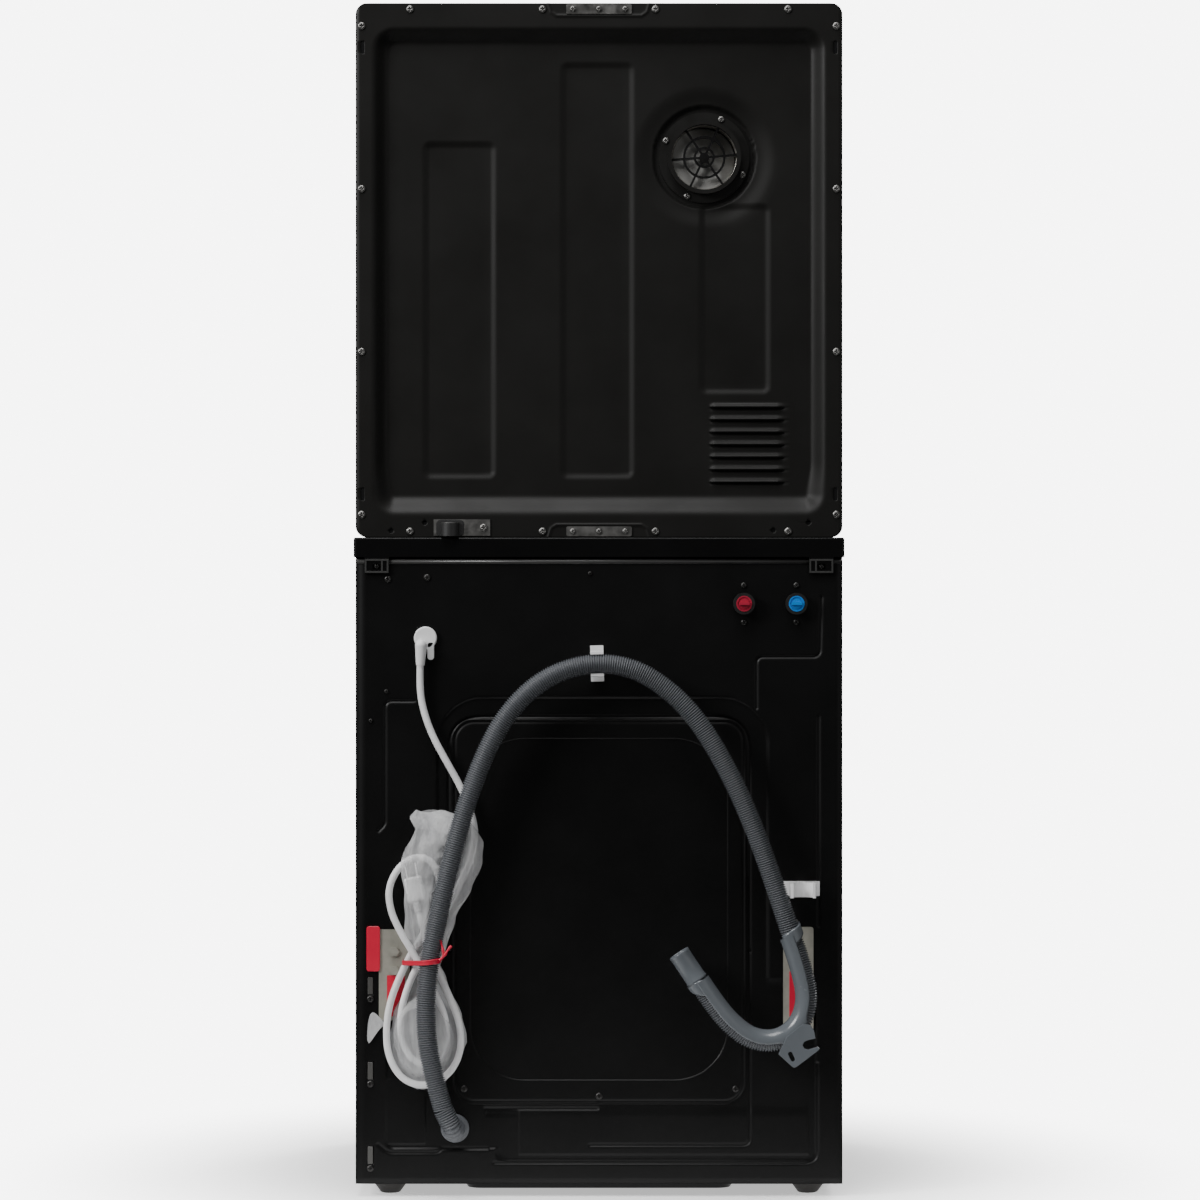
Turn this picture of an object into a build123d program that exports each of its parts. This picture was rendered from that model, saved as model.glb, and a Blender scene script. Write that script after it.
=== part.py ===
"""Washer dryer stack: a vented dryer standing on a compact front-loading washer, as separate pieces.

Millimetres. +Z is up, the doors face -Y and the rear panels face +Y. The origin is on the floor, in the
middle of the footprint.
"""
import os
from math import atan2, cos, degrees, hypot, pi, radians, sin, sqrt, tan

from build123d import *

# Overall sizes
CABINET_WIDTH = 595.0
DRAWN_WIDTH = 595.0
CABINET_DEPTH = 520.0
WASHER_HEIGHT = 806.0
DRYER_HEIGHT = 653.0
FOOT_HEIGHT = 16.0
BASE_RISE = 24.0
WORKTOP_THICKNESS = 24.0
WORKTOP_SIDE_OVERHANG = 2.5
WORKTOP_END_OVERHANG = 4.0
WASHER_CONTROL_HEIGHT = 92.0
DRYER_CONTROL_HEIGHT = 95.0
WASHER_AXIS_HEIGHT = 400.0
DRYER_AXIS_HEIGHT = 299.0

# Sheet, walls and fits
SHEET = 1.0
FLANGE = 20.0
DRYER_FLANGE = 16.0
PLASTIC_WALL = 2.5
MOVING_GAP = 0.5
SEAT_GAP = 0.3
RUNNING_FIT = 0.05

# Derived planes
HALF_WIDTH = CABINET_WIDTH / 2
SPREAD = CABINET_WIDTH / DRAWN_WIDTH
FRONT = -CABINET_DEPTH / 2
REAR = CABINET_DEPTH / 2
WASHER_TOP = WASHER_HEIGHT - WORKTOP_THICKNESS
DRYER_BOTTOM = WASHER_HEIGHT
DRYER_TOP = WASHER_HEIGHT + DRYER_HEIGHT
WASHER_AXIS = WASHER_AXIS_HEIGHT
DRYER_AXIS = DRYER_BOTTOM + DRYER_AXIS_HEIGHT
WASHER_CONTROL_BOTTOM = WASHER_TOP - WASHER_CONTROL_HEIGHT
DRYER_CONTROL_BOTTOM = DRYER_TOP - DRYER_CONTROL_HEIGHT

# Dryer rear panel stamping
DRYER_CORNER = 14.0
DISH_RIM = 19.5
DISH_BOTTOM_RIM = 26.0
DISH_TOP_RIM = 29.0
DISH_CORNER = 28.0
DISH_DEPTH = 14.0
RIB_DEPTH = 4.0
RIB_CORNER = 9.0
RIBS = ((171.0, 91.0, 71.0, 486.0), (2.0, 92.0, 71.0, 583.0), (-166.5, 89.0, 175.0, 410.0))
LOUVRE_COUNT = 7
LOUVRE_PITCH = 15.3
LOUVRE_WIDTH = 89.0
LOUVRE_HEIGHT = 8.0
LOUVRE_RISE = 4.5
LOUVRE_X = -181.5
LOUVRE_LOW = 68.0
RIM_SCREW_INSET = 7.4
RIM_SCREW_TOP_X = (231.0, 69.0)
RIM_SCREW_SIDE_STEPS = 3
RIM_SCREW_SIDE_END = 28.0

# Dryer exhaust
EXHAUST_X = -129.0
EXHAUST_Z = DRYER_BOTTOM + 466.0
EXHAUST_RECESS_RADIUS = 57.5
EXHAUST_RECESS_DEPTH = 8.0
EXHAUST_COLLAR_RADIUS = 45.0
EXHAUST_BORE_RADIUS = 40.0
EXHAUST_COLLAR_LENGTH = 13.0
EXHAUST_FLANGE = 2.5
EXHAUST_SCREW_CIRCLE = 51.5
EXHAUST_SCREW_TURN = 24.0
GUARD_SPOKES = 6
GUARD_TURN = 4.4
GUARD_BAR = 2.6
GUARD_RINGS = (11.5, 24.7)

# Washer rear panel
RECESS_DEPTH = 3.0
RECESS_X = (-208.0 * SPREAD, 200.0 * SPREAD)
RECESS_Z = (63.0, 612.0)
RECESS_CORNER = 48.0
COVER_X = (-182.0 * SPREAD, 178.0 * SPREAD)
COVER_Z = (116.0, 587.0)
COVER_CORNER = 34.0
COVER_LAP = 14.0
COVER_DISH_INSET = 26.0
COVER_DISH_DEPTH = 6.0
COVER_DISH_CORNER = 58.0
BEAD_WIDTH = 3.0
BEAD_DEPTH = 0.6
INLET_X = (-177.0 * SPREAD, -241.0 * SPREAD)
INLET_DROP = 57.0
INLET_RADIUS = 13.2
INLET_BORE = 9.6
INLET_LENGTH = 12.0
INLET_SCREW_RISE = 22.5
GLAND_X = 212.0 * SPREAD
GLAND_DROP = 99.0
GLAND_RADIUS = 14.0
OUTLET_X = 176.0 * SPREAD
OUTLET_Z = 84.0
SLOT_HEIGHTS = (258.0, 154.0, 51.0)
SLOT_WIDTH = 8.0
SLOT_LENGTH = 23.0
SLOT_INSET = 18.0

# Drums and drives
TUB_RADIUS = 255.0
TUB_WALL = 5.0
TUB_FRONT_SETBACK = 48.0
TUB_LENGTH = CABINET_DEPTH - 168.0
TUB_OPENING = 178.0
HUB_RADIUS = 42.0
BEARING_RADIUS = 31.0
BEARING_WIDTH = 16.0
SHAFT_RADIUS = 15.0
WASHER_DRUM_RADIUS = TUB_RADIUS - 17.0
WASHER_DRUM_OPENING = 172.0
DRUM_PULLEY_RADIUS = 150.0
WASHER_MOTOR_PULLEY_RADIUS = 11.0
PULLEY_WIDTH = 18.0
BELT_THICKNESS = 2.5
BELT_WIDTH = 12.0
WASHER_MOTOR_X = 110.0
WASHER_MOTOR_DROP = TUB_RADIUS + 40.0
WASHER_MOTOR_RADIUS = 48.0
WASHER_MOTOR_LENGTH = 125.0
DRYER_MOTOR_X = -205.0
DRYER_MOTOR_RISE = 94.0
DRYER_MOTOR_RADIUS = 44.0
DRYER_MOTOR_LENGTH = 95.0
DRYER_DRUM_CLEARANCE = 5.9
DRYER_MOTOR_DISTANCE = hypot(DRYER_MOTOR_X, DRYER_AXIS_HEIGHT - DRYER_MOTOR_RISE)
DRYER_DRUM_RADIUS = DRYER_MOTOR_DISTANCE - DRYER_MOTOR_RADIUS - DRYER_DRUM_CLEARANCE
DRYER_DRUM_OPENING = DRYER_DRUM_RADIUS - 36.0
DRYER_MOTOR_PULLEY_RADIUS = 10.0
MOTOR_SHAFT_RADIUS = 6.0
LINT_RADIUS = 72.0
FAN_RADIUS = 68.0
SCROLL_RADIUS = 84.0

# Doors
DOOR_RADIUS = 205.0
DOOR_THICKNESS = 30.0
DOOR_GAP = 2.0
GLASS_RADIUS = 150.0
GLASS_SEAT = 11.0
GLASS_THICKNESS = 4.0
WASHER_BOWL_DEPTH = TUB_FRONT_SETBACK + 4.0
DRYER_BOWL_DEPTH = 34.0
PANEL_OPENING = 168.0
HINGE_PIN_RADIUS = 4.0
HINGE_BARREL_RADIUS = 7.0
HINGE_HALF_HEIGHT = 45.0
HINGE_SPLIT = 27.0

# Controls, drawer and flap
KNOB_RADIUS = 27.0
KNOB_RISE = 20.0
KNOB_SPINDLE = 4.0
BUTTON_RADIUS = 13.0
BUTTON_RISE = 3.5
CONTROL_PROUD = 6.0
CONTROL_DEPTH = 30.0
BUTTON_EDGE = 57.5
WASHER_BUTTON_X = HALF_WIDTH - BUTTON_EDGE
DRYER_BUTTON_X = HALF_WIDTH - BUTTON_EDGE
DRAWER_WIDTH = 158.0
DRAWER_HEIGHT = 76.0
DRAWER_LENGTH = 226.0
FLAP_SIZE = 83.0
FLAP_EDGE = 82.5
FLAP_X = HALF_WIDTH - FLAP_EDGE
FLAP_Z = 85.0
FLAP_PIN = 2.0
PUMP_TUBE_RADIUS = 30.0
PUMP_BODY_RADIUS = 37.0
PUMP_MOTOR_RADIUS = 28.0
FILTER_RADIUS = 27.0

# Feet
FOOT_RADIUS = 19.0
FOOT_INSET_X = 40.5
FOOT_INSET_Y = 45.0
STUD_RADIUS = 5.0

# Rear screws, straps and transit plates
SCREW_RADIUS = 4.6
PANEL_SCREW_RADIUS = 4.2
SMALL_SCREW_RADIUS = 3.6
SCREW_RISE = 2.6
STRAP_HALF = 40.0
STRAP_HEIGHT = 12.0
STRAP_THICKNESS = 1.5
CLAMP_X = (133.0 * SPREAD, 202.0 * SPREAD)
CLAMP_RISE = 12.0
CLAMP_HEIGHT = 20.0
CLAMP_HUMP_RADIUS = 11.0
TRANSIT = ((250.0 * SPREAD, 38.0, 216.0, 327.0), (-243.5 * SPREAD, 37.0, 204.0, 330.0))
TRANSIT_PLATE = 1.5
TRANSIT_BOLT_DROPS = (27.0, 50.0)
TRANSIT_BOLT_SIZE = 6.0

# Hose, guide, cord and bag, as offsets off the rear panel
HOSE_RADIUS = 12.2
HOSE_ROOT = 10.8
HOSE_BORE = 9.4
HOSE_RIBS = 150
HOSE_OFFSET = 35.0
CUFF_RADIUS = 12.6
CUFF_LENGTH = 40.0
CUFF_BORE = 10.0
BOOT_RADIUS = 13.6
GUIDE_WALL = 2.2
TIE_THICKNESS = 1.2
TIE_WIDTH = 4.0
CRADLE_GAP = 0.9
CORD_RADIUS = 4.3
CORD_LOW = 8.0
CORD_HIGH = 18.0
RELIEF_LENGTH = 24.0
HOSE_ROUTE = (
    (189, 111), (203, 158), (211, 212), (209, 275), (197, 338), (181, 408), (160, 487), (133, 556),
    (104, 602), (62, 638), (10, 654), (-42, 648), (-86, 620), (-120, 584), (-152, 532), (-180, 474),
    (-205, 408), (-227, 342), (-247, 284), (-255, 246), (-246, 214), (-220, 193), (-187, 194),
    (-160, 213), (-139, 238), (-119, 268),
)
GUIDE_FIRST = 17
HOOK_OUTLINE = (
    (-247, 217), (-261, 209), (-262, 198.6), (-253, 196.7), (-246, 191), (-253, 185), (-266, 188.3),
    (-267, 185.5),
    (-236, 163), (-217, 180), (-227, 201),
)
HOOK_HOLE = (-233.0, 177.0)
HOOK_HOLE_SIZE = (12.0, 5.0)
TIE_HEIGHT = 290.0
SPARE_CLIP_X = -247.5 * SPREAD
SPARE_CLIP_Z = 377.0
SPARE_CLIP_WIDTH = 18.0
CLIP_WIDTH = 16.0
CORD_ROUTE = (
    (218, 10, 650), (219, 9, 622), (214, 8, 593), (203, 8, 563), (187, 8, 534), (171, 8, 506),
    (158, 8, 477), (150, 8, 446), (155, 8, 414), (169, 8, 385), (183, 8, 357), (197, 8, 330),
    (210, 8, 304), (224, 8, 279), (236, 8, 251), (243, 8, 220), (241, 8, 191), (229, 8, 169),
    (211, 8, 161), (194, 9, 171), (185, 11, 196), (188, 14, 224), (199, 17, 249), (213, 18, 275),
    (227, 18, 301), (242, 18, 325), (254, 18, 351), (257, 17, 378), (246, 13, 402), (228, 8, 416),
    (208, 8, 415), (196, 8, 398), (194, 8, 373), (203, 8, 346), (215, 8, 321), (230, 8, 297),
    (243, 8, 270), (255, 8, 240), (260, 8, 207), (258, 8, 175), (244, 8, 148), (221, 8, 136),
    (196, 8, 141), (176, 8, 159), (167, 9, 187), (171, 12, 218), (182, 16, 246), (194, 18, 273),
    (205, 18, 301), (214, 18, 326), (219, 18, 351),
)
BAG_X = 206.0 * SPREAD
BAG_OFFSET = 20.0
BAG_LOW = 306.0
BAG_HIGH = 470.0
BAG_FILM = 0.8
BAG_SECTIONS = (
    (0.0, 34, 22), (0.11, 66, 32), (0.34, 96, 37), (0.6, 104, 37), (0.84, 96, 34), (0.95, 74, 26),
    (1.0, 44, 14),
)
PLUG_LENGTH = 30.0
PLUG_WIDTH = 22.0
PLUG_DEPTH = 17.0


def box(x0, x1, y0, y1, z0, z1):
    """A block between two corners."""
    centre = ((x0 + x1) / 2, (y0 + y1) / 2, (z0 + z1) / 2)
    return Pos(*centre) * Box(abs(x1 - x0), abs(y1 - y0), abs(z1 - z0))


def rod_y(radius, y0, y1, x=0.0, z=0.0):
    """A cylinder lying front to back."""
    return Pos(x, (y0 + y1) / 2, z) * Rot(90, 0, 0) * Cylinder(radius, abs(y1 - y0))


def rod_z(radius, z0, z1, x=0.0, y=0.0):
    """An upright cylinder."""
    return Pos(x, y, (z0 + z1) / 2) * Cylinder(radius, abs(z1 - z0))


def turned(points, x=0.0, z=0.0, rounding=0.0, behind=REAR):
    """A solid turned about a front-to-back axis from (radius, y) points, rounded in front of a depth."""
    face = make_face(Polyline(*[(r, y) for r, y in points], close=True))
    if rounding:
        corners = [v for v in face.vertices() if v.X > rounding * 2 and v.Y < behind]
        face = fillet(corners, rounding)
    return Pos(x, 0, z) * revolve(face, Axis.Y)


def facing_rear(y):
    """The upright plane at depth y, drawn in X and Z, with its normal to the front."""
    return Plane.XZ.offset(-y)


def pocket(sketch, y, depth, slope=45.0):
    """A recess with sloped walls, pressed from depth y towards the front."""
    return extrude(facing_rear(y) * sketch, amount=depth, taper=slope)


def rounded(x0, x1, z0, z1, corner):
    """A rounded rectangle drawn between two corners in X and Z."""
    return Pos((x0 + x1) / 2, (z0 + z1) / 2) * RectangleRounded(x1 - x0, z1 - z0, corner)


def pressed(block):
    """The sheet left when a block's rear form is pressed through by one thickness."""
    return block - block.moved(Location((0, -SHEET, 0)))


def round_corner_radii(points, share=0.45):
    """The bend radius at each inner point of a route, using a share of the shorter run."""
    radii = []
    for before, here, after in zip(points, points[1:], points[2:]):
        first = Vector(*here) - Vector(*before)
        second = Vector(*after) - Vector(*here)
        half_turn = radians(first.get_angle(second)) / 2
        radii.append(share * min(first.length, second.length) / tan(half_turn))
    return radii


def route(points):
    """A path of straight runs joined by tangent arcs."""
    return FilletPolyline(*points, radius=round_corner_radii(points))


def tube(path, radius):
    """A round bar along a path."""
    start = Plane(origin=path @ 0, z_dir=path % 0)
    return sweep(start * Circle(radius), path=path)


def report_tube(name, path, radius, solid):
    """Print the tightest bend and how far the volume is from section times length."""
    bends = [e.radius for e in path.edges() if e.geom_type == GeomType.CIRCLE]
    ratio = solid.volume / (pi * radius ** 2 * path.length)
    print(f"{name}: length {path.length:.0f}, least radius {min(bends):.1f}, volume ratio {ratio:.4f}")


def least_gap(path, radius):
    """The smallest gap between stretches of one tube that are more than five widths apart."""
    count = int(path.length / 4)
    points = [path.position_at(i / count) for i in range(count + 1)]
    apart = int(10 * radius / 4)
    gaps = [
        (points[i] - points[j]).length
        for i in range(len(points))
        for j in range(i + apart, len(points))
    ]
    return min(gaps) - 2 * radius


# Washer cabinet


def washer_base():
    """The floor pan, with a drip tray pressed down in it and four threaded sockets."""
    inner = HALF_WIDTH - SHEET
    front = FRONT + 2 * SHEET
    rear = REAR - 2 * SHEET
    rise = BASE_RISE
    tray_drop = FOOT_HEIGHT * 0.6
    pan = box(-inner, inner, front, rear, FOOT_HEIGHT, FOOT_HEIGHT + rise)
    hollow = box(
        -inner + SHEET, inner - SHEET, front + SHEET, rear - SHEET, FOOT_HEIGHT + SHEET, FOOT_HEIGHT + rise
    )
    floor = Plane(origin=(0, 0, FOOT_HEIGHT + SHEET), x_dir=(1, 0, 0), z_dir=(0, 0, -1))
    tray_width = CABINET_WIDTH * 0.565
    tray_depth = CABINET_DEPTH * 0.9
    outer = extrude(floor * RectangleRounded(tray_width, tray_depth, 24), amount=tray_drop + SHEET, taper=30)
    inside = extrude(
        floor * RectangleRounded(tray_width - 4 * SHEET, tray_depth - 4 * SHEET, 22), amount=tray_drop,
        taper=30
    )
    pan = pan - hollow + outer - inside
    for x, y in foot_places():
        pan += rod_z(STUD_RADIUS + 8, FOOT_HEIGHT, FOOT_HEIGHT + rise, x, y)
    for x, y in foot_places():
        pan -= rod_z(STUD_RADIUS + RUNNING_FIT, FOOT_HEIGHT - 1, FOOT_HEIGHT + rise + 1, x, y)
    return pan


def foot_places():
    """Where the four feet stand."""
    x = HALF_WIDTH - FOOT_INSET_X
    y = REAR - FOOT_INSET_Y
    return ((-x, -y), (x, -y), (-x, y), (x, y))


def foot(x, y):
    """A levelling foot: a tapered pad on a threaded stud."""
    pad_height = FOOT_HEIGHT - SEAT_GAP
    pad = Pos(x, y, pad_height / 2) * Cone(FOOT_RADIUS, FOOT_RADIUS - 4, pad_height)
    pad = fillet(pad.edges().filter_by(GeomType.CIRCLE), 1.2)
    return pad + rod_z(STUD_RADIUS, pad_height, FOOT_HEIGHT + 30, x, y)


def side_sheet(side, bottom, top):
    """A side sheet with flanges turned in at the front and at the rear."""
    front = FRONT + SHEET
    rear = REAR - SHEET
    outer = box(side * HALF_WIDTH, side * (HALF_WIDTH - FLANGE), front, rear, bottom, top)
    inner = box(
        side * (HALF_WIDTH - SHEET), side * (HALF_WIDTH - FLANGE - 1), front + SHEET, rear - SHEET,
        bottom - 1, top + 1
    )
    return outer - inner


def washer_side_panels():
    """The two washer sides, each with a tab that a tub spring hangs from."""
    sides = []
    for side in (-1, 1):
        tab = box(
            side * (SPRING_X - 14), side * (HALF_WIDTH - SHEET), SPRING_Y - 14, SPRING_Y + 14, SPRING_TOP,
            SPRING_TOP + 3
        )
        corner = box(
            side * HALF_WIDTH, side * (HALF_WIDTH - FLANGE - 1), REAR - 8, REAR, WASHER_TOP - 7,
            WASHER_TOP + 1
        )
        sides.append(side_sheet(side, FOOT_HEIGHT, WASHER_TOP) + tab - corner)
    return Compound(children=sides)


def bead(points, corner):
    """A pressed line of constant width along a route in X and Z."""
    line = FilletPolyline(*points, radius=corner)
    return trace(line, BEAD_WIDTH)


def washer_beads():
    """The pressed lines of the washer rear panel."""
    edge = HALF_WIDTH - 29
    inner = edge - 7
    low = FOOT_HEIGHT + 27
    top = WASHER_TOP
    return (
        bead(
            (
                (-edge - 3, top - 60), (-edge - 3, top - 124), (-191 * SPREAD, top - 124),
                (-191 * SPREAD, top - 162)
            ),
            9
        ),
        bead(((-edge, COVER_Z[1]), (-edge, WASHER_AXIS), (-edge - 4, WASHER_AXIS - 12)), 6),
        bead(((-edge, low + 120), (-edge, low), (128 * SPREAD, low)), 15),
        bead(
            (
                (226 * SPREAD, top - 176), (inner, top - 176), (inner, WASHER_AXIS + 55),
                (edge + 1, WASHER_AXIS + 47)
            ),
            6
        ),
        bead(
            (
                (inner, low + 95), (inner, low + 22), (inner - 7, low + 12), (194 * SPREAD, low + 12),
                (188 * SPREAD, low + 16), (131 * SPREAD, low + 16),
            ),
            3,
        ),
    )


def washer_rear_panel():
    """The washer rear sheet: a shallow recess, pressed lines and the openings for the cover and fittings."""
    block = box(-HALF_WIDTH, HALF_WIDTH, REAR - 40, REAR, FOOT_HEIGHT, WASHER_TOP)
    lip = block.edges().filter_by(Axis.X).sort_by(Axis.Y)[-2:].sort_by(Axis.Z)[-1]
    block = chamfer(lip, 5)
    recess = rounded(*RECESS_X, *RECESS_Z, RECESS_CORNER) + rounded(
        *RECESS_X, RECESS_Z[0], RECESS_Z[0] + 200, 10
    )
    block -= pocket(recess, REAR, RECESS_DEPTH)
    for line in washer_beads():
        block -= pocket(line, REAR, BEAD_DEPTH, 0)
    sheet = pressed(block)
    opening = rounded(
        COVER_X[0] + COVER_LAP, COVER_X[1] - COVER_LAP, COVER_Z[0] + COVER_LAP, COVER_Z[1] - COVER_LAP,
        COVER_CORNER - COVER_LAP / 2
    )
    sheet -= pocket(opening, REAR + 1, 42, 0)
    for x in INLET_X:
        sheet -= rod_y(INLET_RADIUS + 2, REAR - 41, REAR + 1, x, WASHER_TOP - INLET_DROP)
    sheet -= rod_y(GLAND_RADIUS - 4, REAR - 41, REAR + 1, GLAND_X, WASHER_TOP - GLAND_DROP)
    sheet -= rod_y(BOOT_RADIUS + 0.4, REAR - 41, REAR + 1, OUTLET_X, OUTLET_Z)
    for z in SLOT_HEIGHTS:
        sheet -= Pos(HALF_WIDTH - SLOT_INSET, REAR, z) * Box(SLOT_WIDTH, 4 * SHEET, SLOT_LENGTH)
    return sheet


def washer_access_cover():
    """The removable cover over the belt: a flat rim and a shallow dish."""
    seat = REAR - RECESS_DEPTH
    block = pocket(rounded(*COVER_X, *COVER_Z, COVER_CORNER), seat + SHEET, 30, 0)
    inset = COVER_DISH_INSET
    dish = rounded(
        COVER_X[0] + inset, COVER_X[1] - inset, COVER_Z[0] + inset, COVER_Z[1] - inset, COVER_DISH_CORNER
    )
    block -= pocket(dish, seat + SHEET, COVER_DISH_DEPTH)
    return pressed(block)


def washer_front_panel():
    """The washer front sheet with the door opening, the flap opening and two ears for the flap pins."""
    top = WASHER_CONTROL_BOTTOM - MOVING_GAP
    plate = box(-HALF_WIDTH, HALF_WIDTH, FRONT, FRONT + SHEET, FOOT_HEIGHT, top)
    plate -= rod_y(PANEL_OPENING, FRONT - 1, FRONT + 2, 0, WASHER_AXIS)
    half = FLAP_SIZE / 2
    low = FLAP_Z - half - 1.5
    plate -= box(
        FLAP_X - half - MOVING_GAP, FLAP_X + half + MOVING_GAP, FRONT - 1, FRONT + 2, low,
        FLAP_Z + half + MOVING_GAP
    )
    for side in (-1, 1):
        x = FLAP_X + side * (half + MOVING_GAP)
        plate += box(x, x + side * 4, FRONT + SHEET, FRONT + 9, flap_axis()[1] - 5, flap_axis()[1] + 5)
    bore = Pos(
        FLAP_X, flap_axis()[0], flap_axis()[1]
    ) * Rot(0, 90, 0) * Cylinder(FLAP_PIN + RUNNING_FIT, FLAP_SIZE + 20)
    return plate - bore


def flap_axis():
    """Depth and height of the filter flap's hinge line."""
    return FRONT + 4.5, FLAP_Z - FLAP_SIZE / 2 + 5


def filter_flap():
    """The flap in front of the pump filter, with lugs and a pin along its lower edge."""
    half = FLAP_SIZE / 2
    y, z = flap_axis()
    plate = box(FLAP_X - half, FLAP_X + half, FRONT - 0.5, FRONT + 2, FLAP_Z - half, FLAP_Z + half)
    for side in (-1, 1):
        x = FLAP_X + side * (half - 1)
        plate += box(x, x - side * 6, FRONT + 1, y + 3, z - 3, z + 3)
    pin = Pos(FLAP_X, y, z) * Rot(0, 90, 0) * Cylinder(FLAP_PIN, FLAP_SIZE + 6)
    grip = box(FLAP_X - 16, FLAP_X + 16, FRONT - 2, FRONT + 0.5, FLAP_Z + half - 14, FLAP_Z + half - 8)
    return plate + pin - grip


def worktop():
    """The washer top board, with two lugs that hook behind the rear panel's top edge."""
    half = HALF_WIDTH + WORKTOP_SIDE_OVERHANG
    board = box(
        -half, half, FRONT - WORKTOP_END_OVERHANG, REAR + WORKTOP_END_OVERHANG, WASHER_TOP, WASHER_HEIGHT
    )
    board = fillet(board.edges().filter_by(Axis.Z), 4)
    board = fillet(board.faces().sort_by(Axis.Z)[-1].edges(), 2.5)
    for side in (-1, 1):
        x = side * (HALF_WIDTH - 26)
        lug = box(x - 15, x + 15, REAR + SEAT_GAP, REAR + WORKTOP_END_OVERHANG, WASHER_TOP - 20, WASHER_TOP)
        lug -= box(x - 5, x + 5, REAR, REAR + 6, WASHER_TOP - 15, WASHER_TOP - 8)
        board += lug
    return board


# Control panels


def control_panel(bottom, top, body_top, outline, holes):
    """A moulded control panel: a front plate and a hollow body behind it, cut by the given solids."""
    body_half = HALF_WIDTH - FLANGE - 2
    front = FRONT - CONTROL_PROUD
    plate = extrude(facing_rear(FRONT + SHEET) * outline, amount=CONTROL_PROUD + SHEET)
    plate &= box(-HALF_WIDTH, HALF_WIDTH, front - 1, REAR, bottom, top)
    face = plate.faces().sort_by(Axis.Y)[0]
    plate = fillet(face.edges(), 2.0)
    body = box(-body_half, body_half, FRONT + SHEET, FRONT + CONTROL_DEPTH, bottom + 2, body_top)
    wall = PLASTIC_WALL
    hollow = box(
        -body_half + wall, body_half - wall, front + wall, FRONT + CONTROL_DEPTH + 1, bottom + 2 + wall,
        body_top - wall
    )
    panel = plate + body - hollow
    for hole in holes:
        panel -= hole
    return panel


def knob_place(bottom, top):
    """The height of a control panel's middle line."""
    return (bottom + top) / 2


def control_holes(bottom, top, button_x):
    """The holes for a knob spindle and a button."""
    z = knob_place(bottom, top)
    front = FRONT - CONTROL_PROUD
    return [
        rod_y(KNOB_SPINDLE + RUNNING_FIT, front - 1, front + 6, 0, z),
        rod_y(BUTTON_RADIUS + 0.4, front - 1, front + 6, button_x, z),
    ]


def knob(z):
    """A turned control knob with a grip bar and a spindle that runs in the panel."""
    face = FRONT - CONTROL_PROUD - MOVING_GAP
    body = turned(
        (
            (0, face), (KNOB_RADIUS, face), (KNOB_RADIUS - 1, face - 6), (KNOB_RADIUS - 5, face - KNOB_RISE),
            (0, face - KNOB_RISE)
        ),
        0, z, 1.2,
    )
    spindle = rod_y(KNOB_SPINDLE, face, face + 9, 0, z)
    groove = box(
        -1.0, 1.0, face - KNOB_RISE - 1, face - KNOB_RISE + 1, z + KNOB_RADIUS * 0.35, z + KNOB_RADIUS
    )
    return body + spindle - groove


def push_button(x, z):
    """A round push button with a collar behind the panel that keeps it in."""
    front = FRONT - CONTROL_PROUD
    cap = rod_y(BUTTON_RADIUS, front - BUTTON_RISE, front + PLASTIC_WALL + SEAT_GAP, x, z)
    cap = fillet(cap.edges().sort_by(Axis.Y)[0], 1.2)
    collar = rod_y(
        BUTTON_RADIUS + 3, front + PLASTIC_WALL + SEAT_GAP, front + PLASTIC_WALL + SEAT_GAP + 2, x, z
    )
    return cap + collar


def drawer_span():
    """The drawer's sides, bottom and top."""
    left = -(HALF_WIDTH - FLANGE - 2 - PLASTIC_WALL) + 4
    middle = (WASHER_CONTROL_BOTTOM + WASHER_TOP) / 2
    return left, left + DRAWER_WIDTH, middle - DRAWER_HEIGHT / 2, middle + DRAWER_HEIGHT / 2


def washer_control_panel():
    """The washer control panel and, behind it, the housing that the drawer slides in."""
    x0, x1, z0, z1 = drawer_span()
    gap = 0.8
    holes = control_holes(WASHER_CONTROL_BOTTOM, WASHER_TOP, WASHER_BUTTON_X)
    holes.append(box(x0 - gap, x1 + gap, FRONT - 20, FRONT + CONTROL_DEPTH - 6, z0 - gap, z1 + gap))
    outline = Pos(
        0, (WASHER_CONTROL_BOTTOM + WASHER_TOP) / 2
    ) * Rectangle(CABINET_WIDTH, WASHER_CONTROL_HEIGHT)
    panel = control_panel(WASHER_CONTROL_BOTTOM, WASHER_TOP, WASHER_TOP - 2, outline, holes)
    start = FRONT + CONTROL_DEPTH
    end = FRONT + DRAWER_LENGTH + 8
    tray = (x0 + 6 - 1.5, x1 - 6 + 1.5, z0 + 6 - 1.5, z1 - 6 + 1.5)
    flange = box(x0 - 4, x1 + 6, start, start + 2, WASHER_CONTROL_BOTTOM + 2, WASHER_TOP - 2)
    housing = flange + box(tray[0] - 2, tray[1] + 2, start, end, tray[2] - 2, tray[3] + 2)
    housing -= box(tray[0], tray[1], start - 1, end - 2, tray[2], tray[3])
    return Compound(children=[panel, housing])


def detergent_drawer():
    """The drawer: a front with a finger scoop and a tray with three compartments."""
    x0, x1, z0, z1 = drawer_span()
    front = FRONT - CONTROL_PROUD
    face = box(x0, x1, front, front + 12, z0, z1)
    face = fillet(face.faces().sort_by(Axis.Y)[0].edges(), 1.5)
    scoop = box(x0 + 30, x1 - 30, front - 1, front + 9, z0 - 1, z0 + 18)
    tray = box(x0 + 6, x1 - 6, front + 12, FRONT + DRAWER_LENGTH, z0 + 6, z1 - 6)
    for a, b in drawer_compartments():
        tray -= box(a, b, FRONT + 14, FRONT + DRAWER_LENGTH - 3, z0 + 9, z1)
    return face - scoop + tray


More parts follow.
